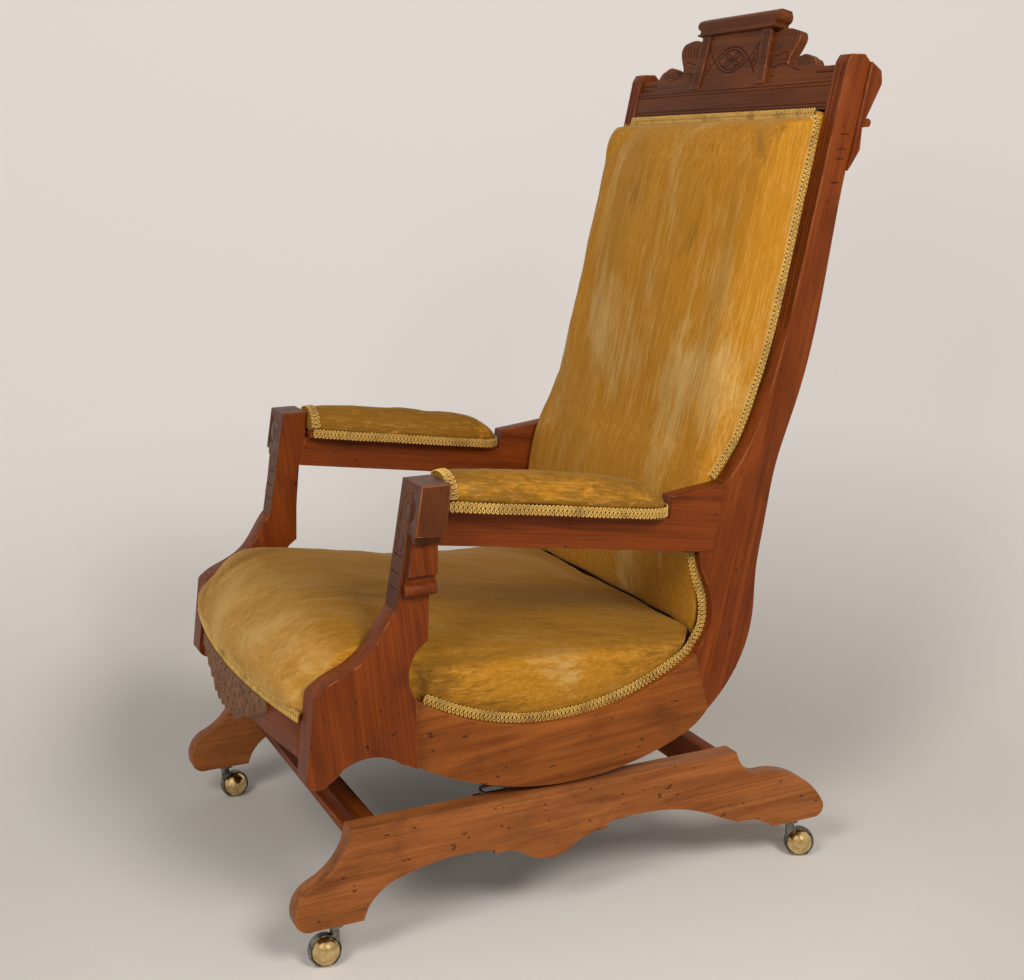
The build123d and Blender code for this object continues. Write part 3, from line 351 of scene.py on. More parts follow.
def made_plain(thing):
    """Turns an object with modifiers into one with a plain mesh."""
    bpy.context.view_layer.update()
    graph = bpy.context.evaluated_depsgraph_get()
    mesh = bpy.data.meshes.new_from_object(thing.evaluated_get(graph), depsgraph=graph)
    thing.modifiers.clear()
    old = thing.data
    thing.data = mesh
    bpy.data.meshes.remove(old)
    return thing


def modified(thing, kind, **settings):
    """Puts one modifier's result in the place of an object's mesh."""
    modifier = thing.modifiers.new(kind, kind)
    for name, value in settings.items():
        setattr(modifier, name, value)
    return made_plain(thing)


def ways_along(line):
    """The way a line of points runs at each of them."""
    return [(after - before).normalized()
            for before, after in zip([line[0], *line[:-1]], [*line[1:], line[-1]])]


def tube(points, radius, sides=8):
    """The points and faces of a round bar along a line of points, closed at both ends."""
    line = [Vector(p) for p in points]
    ways = ways_along(line)
    side = ways[0].orthogonal().normalized()
    made, faces = [], []
    for i, (place, way) in enumerate(zip(line, ways)):
        side = (side - way * side.dot(way)).normalized()
        other = way.cross(side)
        for k in range(sides):
            angle = 2 * math.pi * k / sides
            made.append(place + (side * math.cos(angle) + other * math.sin(angle)) * radius)
        if i:
            for k in range(sides):
                after = (k + 1) % sides
                faces.append(((i - 1) * sides + k, (i - 1) * sides + after, i * sides + after, i * sides + k))
    faces.append(tuple(reversed(range(sides))))
    faces.append(tuple(range((len(line) - 1) * sides, len(line) * sides)))
    return made, faces


def joined(*parts):
    """Several pairs of points and faces as one pair."""
    points, faces = [], []
    for more, walls in parts:
        faces += [tuple(i + len(points) for i in wall) for wall in walls]
        points += more
    return points, faces


def carve(thing, lines, radius):
    """Cuts round-bottomed lines into a piece and colours them as its cuts."""
    cutter = mesh_object("gouge", *joined(*[tube(line, radius) for line in lines]))
    for material in thing.data.materials:
        cutter.data.materials.append(material)
    cutter.data.polygons.foreach_set("material_index", [CUT] * len(cutter.data.polygons))
    modified(thing, "BOOLEAN", operation="DIFFERENCE", solver="EXACT", use_self=True, object=cutter)
    bpy.data.objects.remove(cutter)


def shaded(thing, angle=32.0):
    """Smooth over gentle turns and crisp over sharp ones."""
    thing.data.polygons.foreach_set("use_smooth", [True] * len(thing.data.polygons))
    thing.data.set_sharp_from_angle(angle=math.radians(angle))
    return thing


def stands_for(thing, node):
    """The piece rides where its node does and stands for it."""
    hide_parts(node)
    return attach(thing, solids[node]["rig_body"])


SHARP = math.radians(28)
FAR_OFF = Vector((9, 9, 9))


def worn_edges(work, ease, least_radius):
    """The sharp outer edges of a bmesh, apart from small holes' rims and the neighbourhood of
    very short edges."""
    sharp = {e for e in work.edges if e.calc_face_angle(0) > SHARP}
    good, bad = [], set()
    for edge in sharp:
        radii = []
        for vert in edge.verts:
            away = (edge.other_vert(vert).co - vert.co).normalized()
            turns = [away.angle(vert.co - other.other_vert(vert).co, 0)
                     for other in vert.link_edges if other in sharp and other is not edge]
            radii.append(edge.calc_length() / max(min(turns, default=0), 1e-3))
        if min(radii) > least_radius and edge.is_convex:
            good.append(edge)
        else:
            bad.update(vert.co.copy().freeze() for vert in edge.verts)
    tree = KDTree(max(len(bad), 1))
    for i, place in enumerate(bad or [FAR_OFF]):
        tree.insert(place, i)
    tree.balance()
    return [e for e in good if all(tree.find(v.co)[2] > 2.2 * ease for v in e.verts)]


def eased(node, woods, ease=0.0011, lines=(), gouge=0.001, least_radius=0.0055):
    """A board from its solid, its sharp edges rounded over, with lines carved into it."""
    thing = linked(node + "_finished", joined_mesh(node, node + "_finished"))
    for wood in woods:
        thing.data.materials.append(wood)
    work = bmesh.new()
    work.from_mesh(thing.data)
    whole = BVHTree.FromBMesh(work)
    bmesh.ops.bevel(work, geom=worn_edges(work, ease, least_radius), offset=ease, segments=2,
                    profile=0.5, affect="EDGES", clamp_overlap=False, material=WORN)
    for vert in work.verts:
        place, normal, face, distance = whole.find_nearest(vert.co)
        if distance > 0.6 * ease:
            vert.co = place
    work.to_mesh(thing.data)
    work.free()
    if lines:
        carve(thing, lines, gouge)
    return stands_for(shaded(thing), node)


SIDES = (("right", 1), ("left", -1))
RUNNER_WOOD = wood_set("runner_walnut", PALE_WALNUT, (0, 1, 0.02), 0.1)
NAIL_HOLES = ((-0.162, 0.135), (-0.116, 0.141), (-0.055, 0.158), (0.060, 0.150), (-0.250, 0.122))
NAIL_R, NAIL_DEEP = 0.0013, 0.003
for side, sign in SIDES:
    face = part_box("runner_right")[1].x
    holes = [[(sign * (face + way * NAIL_DEEP), y * sign, z) for way in (-1, 1)] for y, z in NAIL_HOLES]
    eased("runner_" + side, RUNNER_WOOD, 0.0016, holes, NAIL_R)

# ---------------------------------------------------------------- stretchers
# A moulded board across the front of the base and a plain one across the back, dowelled
# into the runners. The dowels' ends are hidden in the joints.

STRETCHER_WOOD = wood_set("stretcher_walnut", RED_WALNUT, (1, 0, 0), 0.7)
eased("front_stretcher", STRETCHER_WOOD)
eased("rear_stretcher", STRETCHER_WOOD)


def beech():
    """Plain unfinished beech, as inside the frame."""
    finish = Finish("plain_beech")
    streaks = finish.cloud((0.02, 0.004, 0.02), 4, 0.4)
    flecks = finish.cloud((0.002, 0.0006, 0.002), 2)
    colour = finish.layered((0.42, 0.26, 0.14), ((0.60, 0.42, 0.25), streaks, 0.3, 0.7),
                            ((0.30, 0.17, 0.09), flecks, 0.36, 0.28, 0.5))
    return finish.surface(Base_Color=colour, Roughness=finish.within(streaks, 0, 1) * 0.2 + 0.55,
                          bump=flecks, depth=0.0002)


def recoloured(node, material):
    """A solid whose shape is right keeps it and gets a better finish."""
    solids[node].data.materials.clear()
    solids[node].data.materials.append(material)


BEECH = beech()
for node in ("base_dowels", "frame_dowels", "rear_seat_rail", "lower_back_rail",
             "seat_batten_right", "seat_batten_left"):
    recoloured(node, BEECH)

# ---------------------------------------------------------------- side frames
# Front post, rocker rail, stile and arm of each side are walnut boards dowelled edge to edge.
# The post's head is built out to a block with a carved scroll, over a neck and a roll.

ROCK = Vector(next(joint["pos_m"] for joint in frame["joints"] if joint["name"] == "rock"))
LEAN = math.radians(13.06)
STILE_KNEE = (0.318, 0.580)
SEAT_HALF = 0.252
FRAME_OUT = 0.279


def on_chair(x, y, z):
    """A point from its place in the chair's own frame, whose origin is the rocking line."""
    return ROCK + Vector((x, y, z))


def stile_front(z):
    """Where the stile's straight front edge runs, in the chair's frame."""
    return STILE_KNEE[0] + math.tan(LEAN) * (z - STILE_KNEE[1])


def spiral(place, across, up, start_r, end_r, start, turns, steps=48):
    """A scroll line about a place, in the plane of two directions, from an angle in degrees."""
    line = []
    for i in range(steps + 1):
        share = i / steps
        radius = start_r + (end_r - start_r) * share
        angle = math.radians(start) + 2 * math.pi * turns * share
        line.append(place + (across * math.cos(angle) + up * math.sin(angle)) * radius)
    return line


def post_carving(sign):
    """The scroll on the block's front, and the zigzag, berries and bars under it."""
    across, up = Vector((sign, 0, 0)), Vector((0, 0.160, 0.987))
    head = on_chair(sign * 0.286, -0.2192, 0.387)
    lines = [spiral(head, across, up, 0.0235, 0.0075, 215, -1.45)]

    def front(x, z):
        return on_chair(sign * x, -0.240 + 0.1753 * (z - 0.266), z)

    zigzags = [[(0.257, 0.362), (0.268, 0.352), (0.258, 0.341), (0.270, 0.333)],
               [(0.276, 0.358), (0.284, 0.346), (0.277, 0.335)]]
    bars = [[(0.257, z), (0.271, z - 0.001), (0.284, z)] for z in (0.331, 0.310, 0.291)]
    lines += [[front(x, z) for x, z in line] for line in zigzags + bars]
    for z in (0.3205, 0.3005):
        lines.append([front(0.271, z) + Vector((0, deep, 0)) for deep in (-0.002, 0.0015)])
    return lines


POST_WOOD = wood_set("post_walnut", RED_WALNUT, (0, -0.1, 1), 0.2)
RAIL_WOOD = wood_set("rocker_rail_walnut", ORANGE_WALNUT, (0, 1, 0.06), 1.3)
ARM_WOOD = wood_set("arm_walnut", RED_WALNUT, (0, 1, -0.14), 2.1)
STILE_WOOD = wood_set("stile_walnut", RED_WALNUT, (0, math.sin(LEAN), math.cos(LEAN)), 3.2)
BAR_HEIGHTS = (0.817, 0.798, 0.786, 0.756)
BAR_START, BAR_END = 0.014, 0.027       # behind the stile's front edge
BLOCK_FOOT, CARVED_FOOT = 0.353, 0.272
CARVED_WOOD = walnut("post_carved_walnut", BROWN_WALNUT, (0, -0.1, 1), 0.2, dirt=0.3)
for side, sign in SIDES:
    post = eased("post_" + side, POST_WOOD, 0.0013, post_carving(sign), 0.0010)
    post.data.materials.append(CARVED_WOOD)
    for face in post.data.polygons:
        height = face.center.z - ROCK[2]
        carved = height > BLOCK_FOOT or height > CARVED_FOOT and face.normal.y < -0.5
        if face.material_index == 0 and carved:
            face.material_index = len(POST_WOOD)
    eased("rocker_rail_" + side, RAIL_WOOD)
    eased("arm_" + side, ARM_WOOD)
    bars = [[on_chair(sign * FRAME_OUT, stile_front(z) + behind, z) for behind in (BAR_START, BAR_END)]
            for z in BAR_HEIGHTS]
    eased("stile_" + side, STILE_WOOD, 0.0013, bars, 0.0009)

# ---------------------------------------------------------------- crest
# A grooved rail with a fretted board above it, a raised tablet between pilasters and a stepped
# moulded cap. All dark walnut, carved by hand with a V-tool and a small gouge.


CREST_Z = 0.849
CREST_BEHIND = 0.0025       # how far its face stands behind the stiles' front edges
TABLET_X, TABLET_UP = -2, 78.5


def on_crest(x, up, out):
    """A point from its place on the crest, which leans with the back."""
    y = stile_front(CREST_Z) + CREST_BEHIND + up * math.sin(LEAN) - out * math.cos(LEAN)
    return on_chair(x, y, CREST_Z + up * math.cos(LEAN) + out * math.sin(LEAN))


def smooth_path(points, steps=6):
    """A smooth line through points of any kind of vector."""
    spots = [Vector(p) for p in points]
    spots = [spots[0] * 2 - spots[1], *spots, spots[-1] * 2 - spots[-2]]
    line = []
    for a, b, c, d in zip(spots, spots[1:], spots[2:], spots[3:]):
        for i in range(steps):
            t = i / steps
            line.append((b * 2 + (c - a) * t + (a * 2 - b * 5 + c * 4 - d) * t * t
                         + (b * 3 - a - c * 3 + d) * t ** 3) / 2)
    return [*line, spots[-2]]


def crest_lines(lines, out):
    """Smooth lines through points in millimetres (x, up) on the crest's face."""
    return [[on_crest(p.x / 1000, p.y / 1000, out) for p in smooth_path(line)] for line in lines]


def tablet_carving():
    """Two crossing bows that make a pointed oval, a smaller oval in it, petals and flutes, all
    about the tablet's middle."""
    lines = [[(x, up * (height - fall * x * x)) for x in np.linspace(-reach, reach, 13)]
             for reach, height, fall in ((66, 18.5, 0.0094), (34, 14.0, 0.0121)) for up in (1, -1)]
    for side in (1, -1):
        for up in (1, -1):
            tip = (side * 22 - TABLET_X, up * 8.5)
            lines.append([(0, 0), (side * 9 - TABLET_X, up * 8), tip])
            lines.append([(0, 0), (side * 12 - TABLET_X, up * 2.5), tip])
        lines.append([(side * 53, -8.5), (side * 58, 0), (side * 53, 8.5)])
        lines.append([(side * 62, -12.5), (side * 66, 0), (side * 62, 12.5)])
    return crest_lines([[(x + TABLET_X, up + TABLET_UP) for x, up in line] for line in lines], 0.0)


def pricks(places, depth=0.0016):
    """Short lines straight into the crest's face, for round pricked dots."""
    return [[on_crest(x / 1000, up / 1000, out) for out in (depth, -depth)] for x, up in places]


def pilaster_flutes():
    """Three upright flutes down each pilaster."""
    return crest_lines([[(side * foot, 45), (side * (foot - 5.5), 112)]
                        for side in (1, -1) for foot in (79.5, 84.0, 88.5)], 0.003)


def leaf_carving(side):
    """The vine, the leaf's veins and the bump's cuts on one end of the crest's board."""
    lines = [[(97, 64), (107, 63), (118, 65.5), (133, 66), (148, 61), (168, 55.5)],
             [(112, 64), (107, 58), (106, 51.5), (99, 49)],
             [(100, 78), (112, 79), (126, 83), (134, 76), (133, 69)]]
    lines += [[(x, up), (x - 1, up - 8), (x - 3, up - 16)]
              for x, up in ((107, 103), (116, 104.5), (125, 106), (133, 106.5), (141, 105))]
    lines += [[(x, 60), (x + 0.5, 69)] for x in (161, 166, 171, 176, 181, 186)]
    lines += [[(206, 50), (228, 50), (248, 50)]]
    return crest_lines([[(side * x, up) for x, up in line] for line in lines], -0.003)


def moulded_cap(name, profile, rear, wood):
    """A block with a moulding round its front and ends, mitred at the corners. The profile is
    of half width, distance out and height, in millimetres."""
    points, faces = [], []
    for half, out, up in profile:
        for x, o in ((-half, -rear), (half, -rear), (half, out), (-half, out)):
            points.append(on_crest(x / 1000, up / 1000, o / 1000))
    for level in range(len(profile) - 1):
        for k in range(4):
            low, after = level * 4 + k, level * 4 + (k + 1) % 4
            faces.append((low, after, after + 4, low + 4))
    top = 4 * (len(profile) - 1)
    faces += [(3, 2, 1, 0), (top, top + 1, top + 2, top + 3)]
    return mesh_object(name, points, faces, wood)


CREST_WOOD = wood_set("crest_walnut", BROWN_WALNUT, (1, 0, 0), 4.4)
DOT_RING = 4.5
TABLET_DOTS = [(TABLET_X + DOT_RING * math.cos(a), TABLET_UP + DOT_RING * math.sin(a))
               for a in np.linspace(0, 2 * math.pi, 7)[:-1]]
SIDE_DOTS = [(side * 56 + TABLET_X, up) for side in (1, -1) for up in (66, 91)]
eased("crest_rail", CREST_WOOD, 0.0008)
eased("crest_board", CREST_WOOD, 0.0013, leaf_carving(1) + leaf_carving(-1), 0.0009)
eased("crest_tablet", CREST_WOOD, 0.0009,
      tablet_carving() + pilaster_flutes() + pricks(TABLET_DOTS + SIDE_DOTS), 0.0011, 0.0012)
CAP_PROFILE = ((98.5, 5.0, 117.1), (99.8, 6.2, 117.9), (99.8, 6.2, 119.0), (97.4, 5.2, 120.0),
               (95.6, 4.7, 121.6), (94.8, 4.6, 123.6), (95.6, 4.9, 125.2), (98.6, 5.7, 126.6),
               (100.8, 6.5, 128.6), (101.9, 6.9, 131.2), (101.9, 6.9, 133.4), (101.2, 6.8, 136.2),
               (99.6, 6.3, 138.0), (98.6, 4.6, 139.6), (97.2, 0.8, 141.8), (95.8, -3.0, 143.8))
cap = moulded_cap("crest_cap_finished", CAP_PROFILE, 19.8, CREST_WOOD[0])
stands_for(shaded(cap, 40), "crest_cap")

# ---------------------------------------------------------------- ear brackets and pad boards
# A shaped ear is glued behind each stile's top, with broad worn chamfers. A thin board lies in
# each arm's notch and carries the pad.

EAR_WOOD = wood_set("ear_walnut", RED_WALNUT, (0, math.sin(LEAN), math.cos(LEAN)), 5.1)
for side, sign in SIDES:
    eased("ear_bracket_" + side, EAR_WOOD, 0.0016, least_radius=0.003)
    eased("arm_pad_board_" + side, ARM_WOOD, 0.0016)

# ---------------------------------------------------------------- front seat rail and its apron
# The rail is bowed walnut. The apron glued on it is one dusty walnut board, carved by hand into
# overlapping rows of hanging feathers that follow its pointed lower edge.


def bow_y(x):
    """Where the bowed front rail's face stands, in the chair's frame."""
    return -0.3716 + 0.022 * (x / SEAT_HALF) ** 2


def apron_foot(x):
    """The height of the apron's lower edge."""
    return float(np.interp(abs(x), (0.0, 0.040, 0.078, 0.112, APRON_HALF),
                           (0.068, 0.070, 0.083, 0.097, 0.111)))


APRON_HALF, APRON_TOP = 0.147, 0.1300
APRON_PROUD = 0.0060         # how far its ground stands before the rail
FEATHER_WIDE = 0.0205
FEATHER_RISE = 0.0135


def feather_edge(x, row):
    """How high over the apron's foot a row's feather ends, and how far across it x lies."""
    shift = 0.5 * FEATHER_WIDE * (row % 2)
    column = round((x - shift) / FEATHER_WIDE)
    across = x - shift - column * FEATHER_WIDE
    jog = noise.noise(Vector((column * 1.7 + 0.3, row * 2.3 + 0.7, 0.0)))
    across += 0.0035 * jog
    point = 0.018 if row == 0 else 0.011
    return row * FEATHER_RISE + 0.009 * jog + point * abs(2 * across / FEATHER_WIDE) ** 1.3, across


def feathers(x, height):
    """How far the carving stands out: hanging feathers, each row over the one below it."""
    for row in (4, 3, 2, 1, 0):
        edge, across = feather_edge(x, row)
        if height >= edge or row == 0:
            down = 1 - min((height - edge) / (1.7 * FEATHER_RISE), 1)
            vein = math.sin((across + 0.35 * abs(across)) * 2600 + row) * 0.00022
            return 0.0010 + 0.0030 * down - 0.0006 * math.exp(-(across / 0.0010) ** 2) + vein * down


def grey_walnut():
    """The apron's dusty, greyish brown wood, with painted shade in its hollows and painted highlights on its
    high places.
    """
    finish = Finish("apron_walnut")
    painted_shade_and_highlight = finish.node("ShaderNodeNewGeometry", output="Pointiness")
    dust = finish.cloud(0.02, 4, 0.5)
    grain = finish.cloud((0.003, 0.003, 0.05), 3, 0.5)
    # painted shade in the hollows and painted highlights on the high places, both from the surface's
    # pointiness
    colour = finish.layered(
        (0.110, 0.047, 0.022), ((0.240, 0.112, 0.055), grain * 0.5 + dust * 0.5, 0.35, 0.65),
        ((0.022, 0.010, 0.006), painted_shade_and_highlight, 0.485, 0.43), ((0.31, 0.185, 0.105), painted_shade_and_highlight, 0.515, 0.60, 0.8))
    return finish.surface(Base_Color=colour, Roughness=finish.within(dust, 0, 1) * 0.25 + 0.38,
                          bump=grain, depth=0.0002, Specular_IOR_Level=0.12)


eased("front_seat_rail", STRETCHER_WOOD, 0.0014)
APRON_WOOD = grey_walnut()
columns, rows = 330, 52
points, faces = [], []
for x in np.linspace(-APRON_HALF, APRON_HALF, columns):
    low = apron_foot(x) + min(max(feather_edge(x, 0)[0] - 0.002, -0.005), 0.013)
    for z in np.linspace(low, APRON_TOP, rows):
        out = feathers(x, z - apron_foot(x))
        points.append(on_chair(x, bow_y(x) - APRON_PROUD - out, z))
    points += [on_chair(x, bow_y(x), APRON_TOP), on_chair(x, bow_y(x), low)]
ring = rows + 2
for i in range(columns - 1):
    for k in range(ring):
        here, after = i * ring + k, i * ring + (k + 1) % ring
        faces.append((here, here + ring, after + ring, after))
faces += [tuple(range(ring)), tuple(reversed(range((columns - 1) * ring, columns * ring)))]
carving = mesh_object("apron_carving", points, faces, APRON_WOOD)
stands_for(shaded(carving, 40), "carved_apron")

# ---------------------------------------------------------------- cushions and arm pads
# Old-gold velvet over stuffing. Each cushion starts a little slack from its solid, is swelled by
# air in a cloth simulation where it is free, and stays put where it is tacked or rests on wood.

DEEP_GOLD = (0.440, 0.184, 0.0110)
PALE_GOLD = (0.560, 0.340, 0.105)
DARK_GOLD = (0.190, 0.084, 0.0080)
CLOTH_STEPS = 20


def velvet(name, nap, pale=0.0, dark=0.0, mottle=0.0, painted_shade=0.0, spread=1.4, front=0.0):
    """Velvet whose nap lies along a direction in streaks. A share is brushed pale or dark in
    broad patches or crushed into small mottles. What faces up gets painted shade by a share, and
    what faces the front gets painted light, paler by a share."""
    finish = Finish(name, nap)
    streaks = finish.cloud((0.34, 0.0085, 0.0085), 3, 0.2)
    fine = finish.cloud((0.050, 0.0019, 0.0019), 3, 0.3)
    broad = finish.cloud((0.22, 0.11, 0.11), 2, 0.7)
    brushed = finish.cloud((0.050, 0.016, 0.016), 4, 1.6, roughness=0.6)
    crushed = finish.cloud((0.0080, 0.0040, 0.0040), 3, 0.6)
    pile = finish.cloud(0.0008, 2, turn=(0, 0, 0))
    share = broad * (0.62 - mottle * 0.35) + brushed * (0.10 + mottle * 0.30) + streaks * 0.16
    share = share + fine * 0.07 + crushed * (0.05 + mottle * 0.05)
    share = share * spread + 0.5 * (1 - spread)
    lines = fine * 0.55 + streaks * 0.25 + crushed * 0.20
    colour = finish.layered(
        DEEP_GOLD, (PALE_GOLD, share, 0.54 - 0.12 * pale, 0.72 - 0.10 * pale, 0.9),
        (DARK_GOLD, share, 0.45 + 0.06 * dark, 0.33 + 0.06 * dark, 0.8),
        (DARK_GOLD, lines, 0.56, 0.34, 0.42), (PALE_GOLD, lines, 0.50, 0.70, 0.45))
    normal = finish.node("ShaderNodeNewGeometry", output="Normal")
    # painted shade: what faces up is darkened by a share
    if painted_shade:
        colour = finish.layered(colour, (DARK_GOLD, finish.part(normal, "Z"), 0.35, 0.95, painted_shade))
    # painted light: what faces the front is made paler by a share
    if front:
        painted_front_light = finish.within(finish.part(normal, "Y"), -0.15, -0.80)
        colour = finish.mix(colour, PALE_GOLD, painted_front_light * finish.within(share, 0.35, 0.6) * front)
    return finish.surface(Base_Color=colour, Roughness=finish.within(brushed, 0, 1) * 0.15 + 0.78,
                          bump=crushed * 0.5 + pile * 0.5 + fine * 0.8, depth=0.0010, strength=0.40,
                          Specular_IOR_Level=0.10, Sheen_Weight=0.22, Sheen_Roughness=0.35,
                          Sheen_Tint=(1.0, 0.72, 0.32, 1))


def read(thing, what):
    """One vector of each of a mesh's points as an array."""
    values = np.empty(len(thing.data.vertices) * 3)
    thing.data.vertices.foreach_get(what, values)
    return values.reshape(-1, 3)


def move_to(thing, spots):
    thing.data.vertices.foreach_set("co", spots.ravel())
    thing.data.update()


def stuffed(node, material, voxel, slack, most, freedom, shaping):
    """A cushion from its solid. freedom gives, for the chair-frame points, how far from 0 to 1
    each may swell; shaping moves the swelled points at the end."""
    thing = linked(node + "_stuffed", joined_mesh(node, node + "_stuffed"))
    modified(thing, "REMESH", mode="VOXEL", voxel_size=voxel)
    modified(thing, "SMOOTH", factor=0.5, iterations=5)
    rest = read(thing, "co")
    share = freedom(rest - np.array(ROCK))[:, None]
    start = rest - read(thing, "normal") * slack * share
    move_to(thing, start)
    tacked = thing.vertex_groups.new(name="tacked")
    for index, free in enumerate(share[:, 0]):
        tacked.add([index], float(1 - free), "REPLACE")
    air = thing.modifiers.new("air", "CLOTH")
    air.settings.use_pressure = True
    air.settings.uniform_pressure_force = 4
    air.settings.effector_weights.gravity = 0
    air.settings.vertex_group_mass = "tacked"
    for step in range(1, CLOTH_STEPS + 1):
        bpy.context.scene.frame_set(step)
    made_plain(thing)
    bpy.context.scene.frame_set(1)
    swelled = read(thing, "co") - start
    reach = np.linalg.norm(swelled, axis=1, keepdims=True)
    swelled *= np.minimum(1, most / np.maximum(reach, 1e-9)) * share
    move_to(thing, start + swelled)
    shaped = shaping(read(thing, "co") - np.array(ROCK), read(thing, "normal"))
    move_to(thing, shaped + np.array(ROCK))
    modified(thing, "SUBSURF", levels=1)
    thing.data.materials.clear()
    thing.data.materials.append(material)
    return stands_for(shaded(thing, 180), node)


def ramp(value, low, high):
    return np.clip((value - low) / (high - low), 0, 1)


def uneven(places, normals, size, depth, seed=0.0):
    """Stuffing that has settled into gentle lumps."""
    lumps = np.array([noise.noise(Vector(p) / size + Vector((seed, seed, seed))) for p in places])
    return places + normals * (lumps * depth)[:, None]


def opening_edge(inset):
    """The lower and rear edge of the opening under an arm, moved into the opening, as (y, z)."""
    low, mid, high = Vector((-0.198, 0.136)), Vector((-0.019, 0.086)), Vector((0.162, 0.133))
    t = np.linspace(0, 1, 9)
    arc = [low * (1 - s) * (1 - 2 * s) + mid * 4 * s * (1 - s) + high * s * (2 * s - 1) for s in t]
    throat = [Vector(p) for p in ((0.183, 0.146), (0.195, 0.161), (0.205, 0.178), (0.208, 0.200),
                                  (0.206, 0.223), (0.198, 0.245), (0.188, 0.283))]
    line = smooth_path(arc + throat, 8)
    return [place + Vector((-way.y, way.x)) * inset for place, way in zip(line, ways_along(line))]


OPENING = np.array([tuple(p) for p in opening_edge(0)])


def seat_freedom(p):
    """The seat is tacked along its foot and held where it meets the back."""
    crease = np.hypot(p[:, 1] - 0.199, p[:, 2] - 0.176)
    edge = ramp(p[:, 2], 0.141, 0.175) * ramp(crease, 0.008, 0.06)
    return np.where(np.abs(p[:, 0]) > 0.246, 0.35 * edge, edge)


def seat_shape(p, normals):
    """Keeps the seat inside the posts and rails, bulged only in the openings, and hollowed where
    it has been sat on."""
    p = uneven(p, normals, 0.085, 0.0035)
    p = uneven(p, normals, 0.030, 0.0012, 3.0)
    x, y, z = p.T
    top = ramp(normals[:, 2], 0.5, 0.9) * ramp(z, 0.15, 0.2)
    p[:, 2] -= 0.0045 * top * np.exp(-((y + 0.06) / 0.11) ** 2 - (x / 0.15) ** 2)
    outside = (y < -0.199) | (y > 0.184) | (z > 0.276)
    in_side = np.min(np.hypot(y[:, None] - OPENING[:, 0], z[:, None] - OPENING[:, 1]), axis=1)
    swell = ramp(in_side, 0.011, 0.050)
    swell = 0.2650 + 0.0092 * swell * (2 - swell)
    limit = np.where(outside, SEAT_HALF - 0.0004, swell)
    proud = np.maximum(np.abs(x) - SEAT_HALF, 0)
    p[:, 0] = np.clip(x + np.sign(x) * 0.5 * proud, -limit, limit)
    return p


def back_freedom(p):
    """The back is tacked along the stiles, the crest rail and its foot."""
    proud = stile_front(p[:, 2]) - p[:, 1]
    free = ramp(proud, 0.012, 0.040) * ramp(p[:, 2], 0.19, 0.26)
    free = free * ramp(CREST_Z - p[:, 2], 0.004, 0.05)
    return np.where(p[:, 2] < 0.45, free * ramp(0.251 - np.abs(p[:, 0]), 0, 0.02), free)


FOLD_X, FOLD_Z = 0.195, 0.800
FIT = 0.0004       # clearance to the wood


def back_shape(p, normals):
    """Keeps the back inside the stiles, with tension folds into its top corners and a sag
    across its lower part."""
    p = uneven(p, normals, 0.10, 0.0030, 5.0)
    p = uneven(p, normals, 0.035, 0.0010, 8.0)
    x, y, z = p.T
    front = ramp(-normals[:, 1], 0.5, 0.9)
    for side in (1, -1):
        inward, high = side * x - FOLD_X, z - FOLD_Z
        across = inward * 0.62 + high * 0.78
        along = -inward * 0.78 + high * 0.62
        fold = np.exp(-(across / 0.0075) ** 2) * np.exp(-(along / 0.035) ** 2)
        p[:, 1] += 0.0042 * fold * front
    p[:, 1] += 0.0050 * front * np.exp(-((z - 0.47) / 0.07) ** 2) * np.exp(-(x / 0.17) ** 2)
    foot = ramp(0.222 - z, 0, 0.035)
    p[:, 1] -= 0.0045 * foot * ramp(0.228 - y, 0.004, 0.012)
    p[:, 2] -= foot * (0.0118 + 0.014 * ramp(np.abs(x), 0.19, 0.245))
    p[:, 0] = np.clip(p[:, 0], -SEAT_HALF + FIT, SEAT_HALF - FIT)
    throat = OPENING[OPENING[:, 0] > 0.160]
    room = np.interp(z, throat[:, 1], throat[:, 0]) - y
    p[:, 0] += (0.0145 * np.sign(x) * ramp(np.abs(x), 0.228, 0.2480) * ramp(room, 0.001, 0.013)
                * ramp(0.282 - z, 0, 0.014) * ramp(z, 0.135, 0.150))
    away, rise = y - stile_front(CREST_Z) - CREST_BEHIND, z - CREST_Z
    up = away * math.sin(LEAN) + rise * math.cos(LEAN)
    out = rise * math.sin(LEAN) - away * math.cos(LEAN)
    back = np.maximum(out - 0.0080 - 3.2 * np.maximum(-0.0125 - up, 0), 0) * (up > -0.035)
    p[:, 1] += back * math.cos(LEAN)
    p[:, 2] -= back * math.sin(LEAN)
    return p


def pad_foot(y):
    """The height of an arm pad's lower edge."""
    return 0.392 - 0.141 * (y + 0.176)


def pad_freedom(p):
    """An arm pad is tacked along its lower edge."""
    return ramp(p[:, 2] - pad_foot(p[:, 1]), 0.006, 0.022)


def pad_shape(p, normals):
    """A full pad, boxy towards its rear end, with a lumpy top."""
    high = ramp(p[:, 2] - pad_foot(p[:, 1]), 0.006, 0.030)
    p[:, 2] += 0.0075 * high * ramp(p[:, 1], 0.02, 0.105)
    return uneven(uneven(p, normals, 0.055, 0.0022, 11.0), normals, 0.020, 0.0009, 14.0)


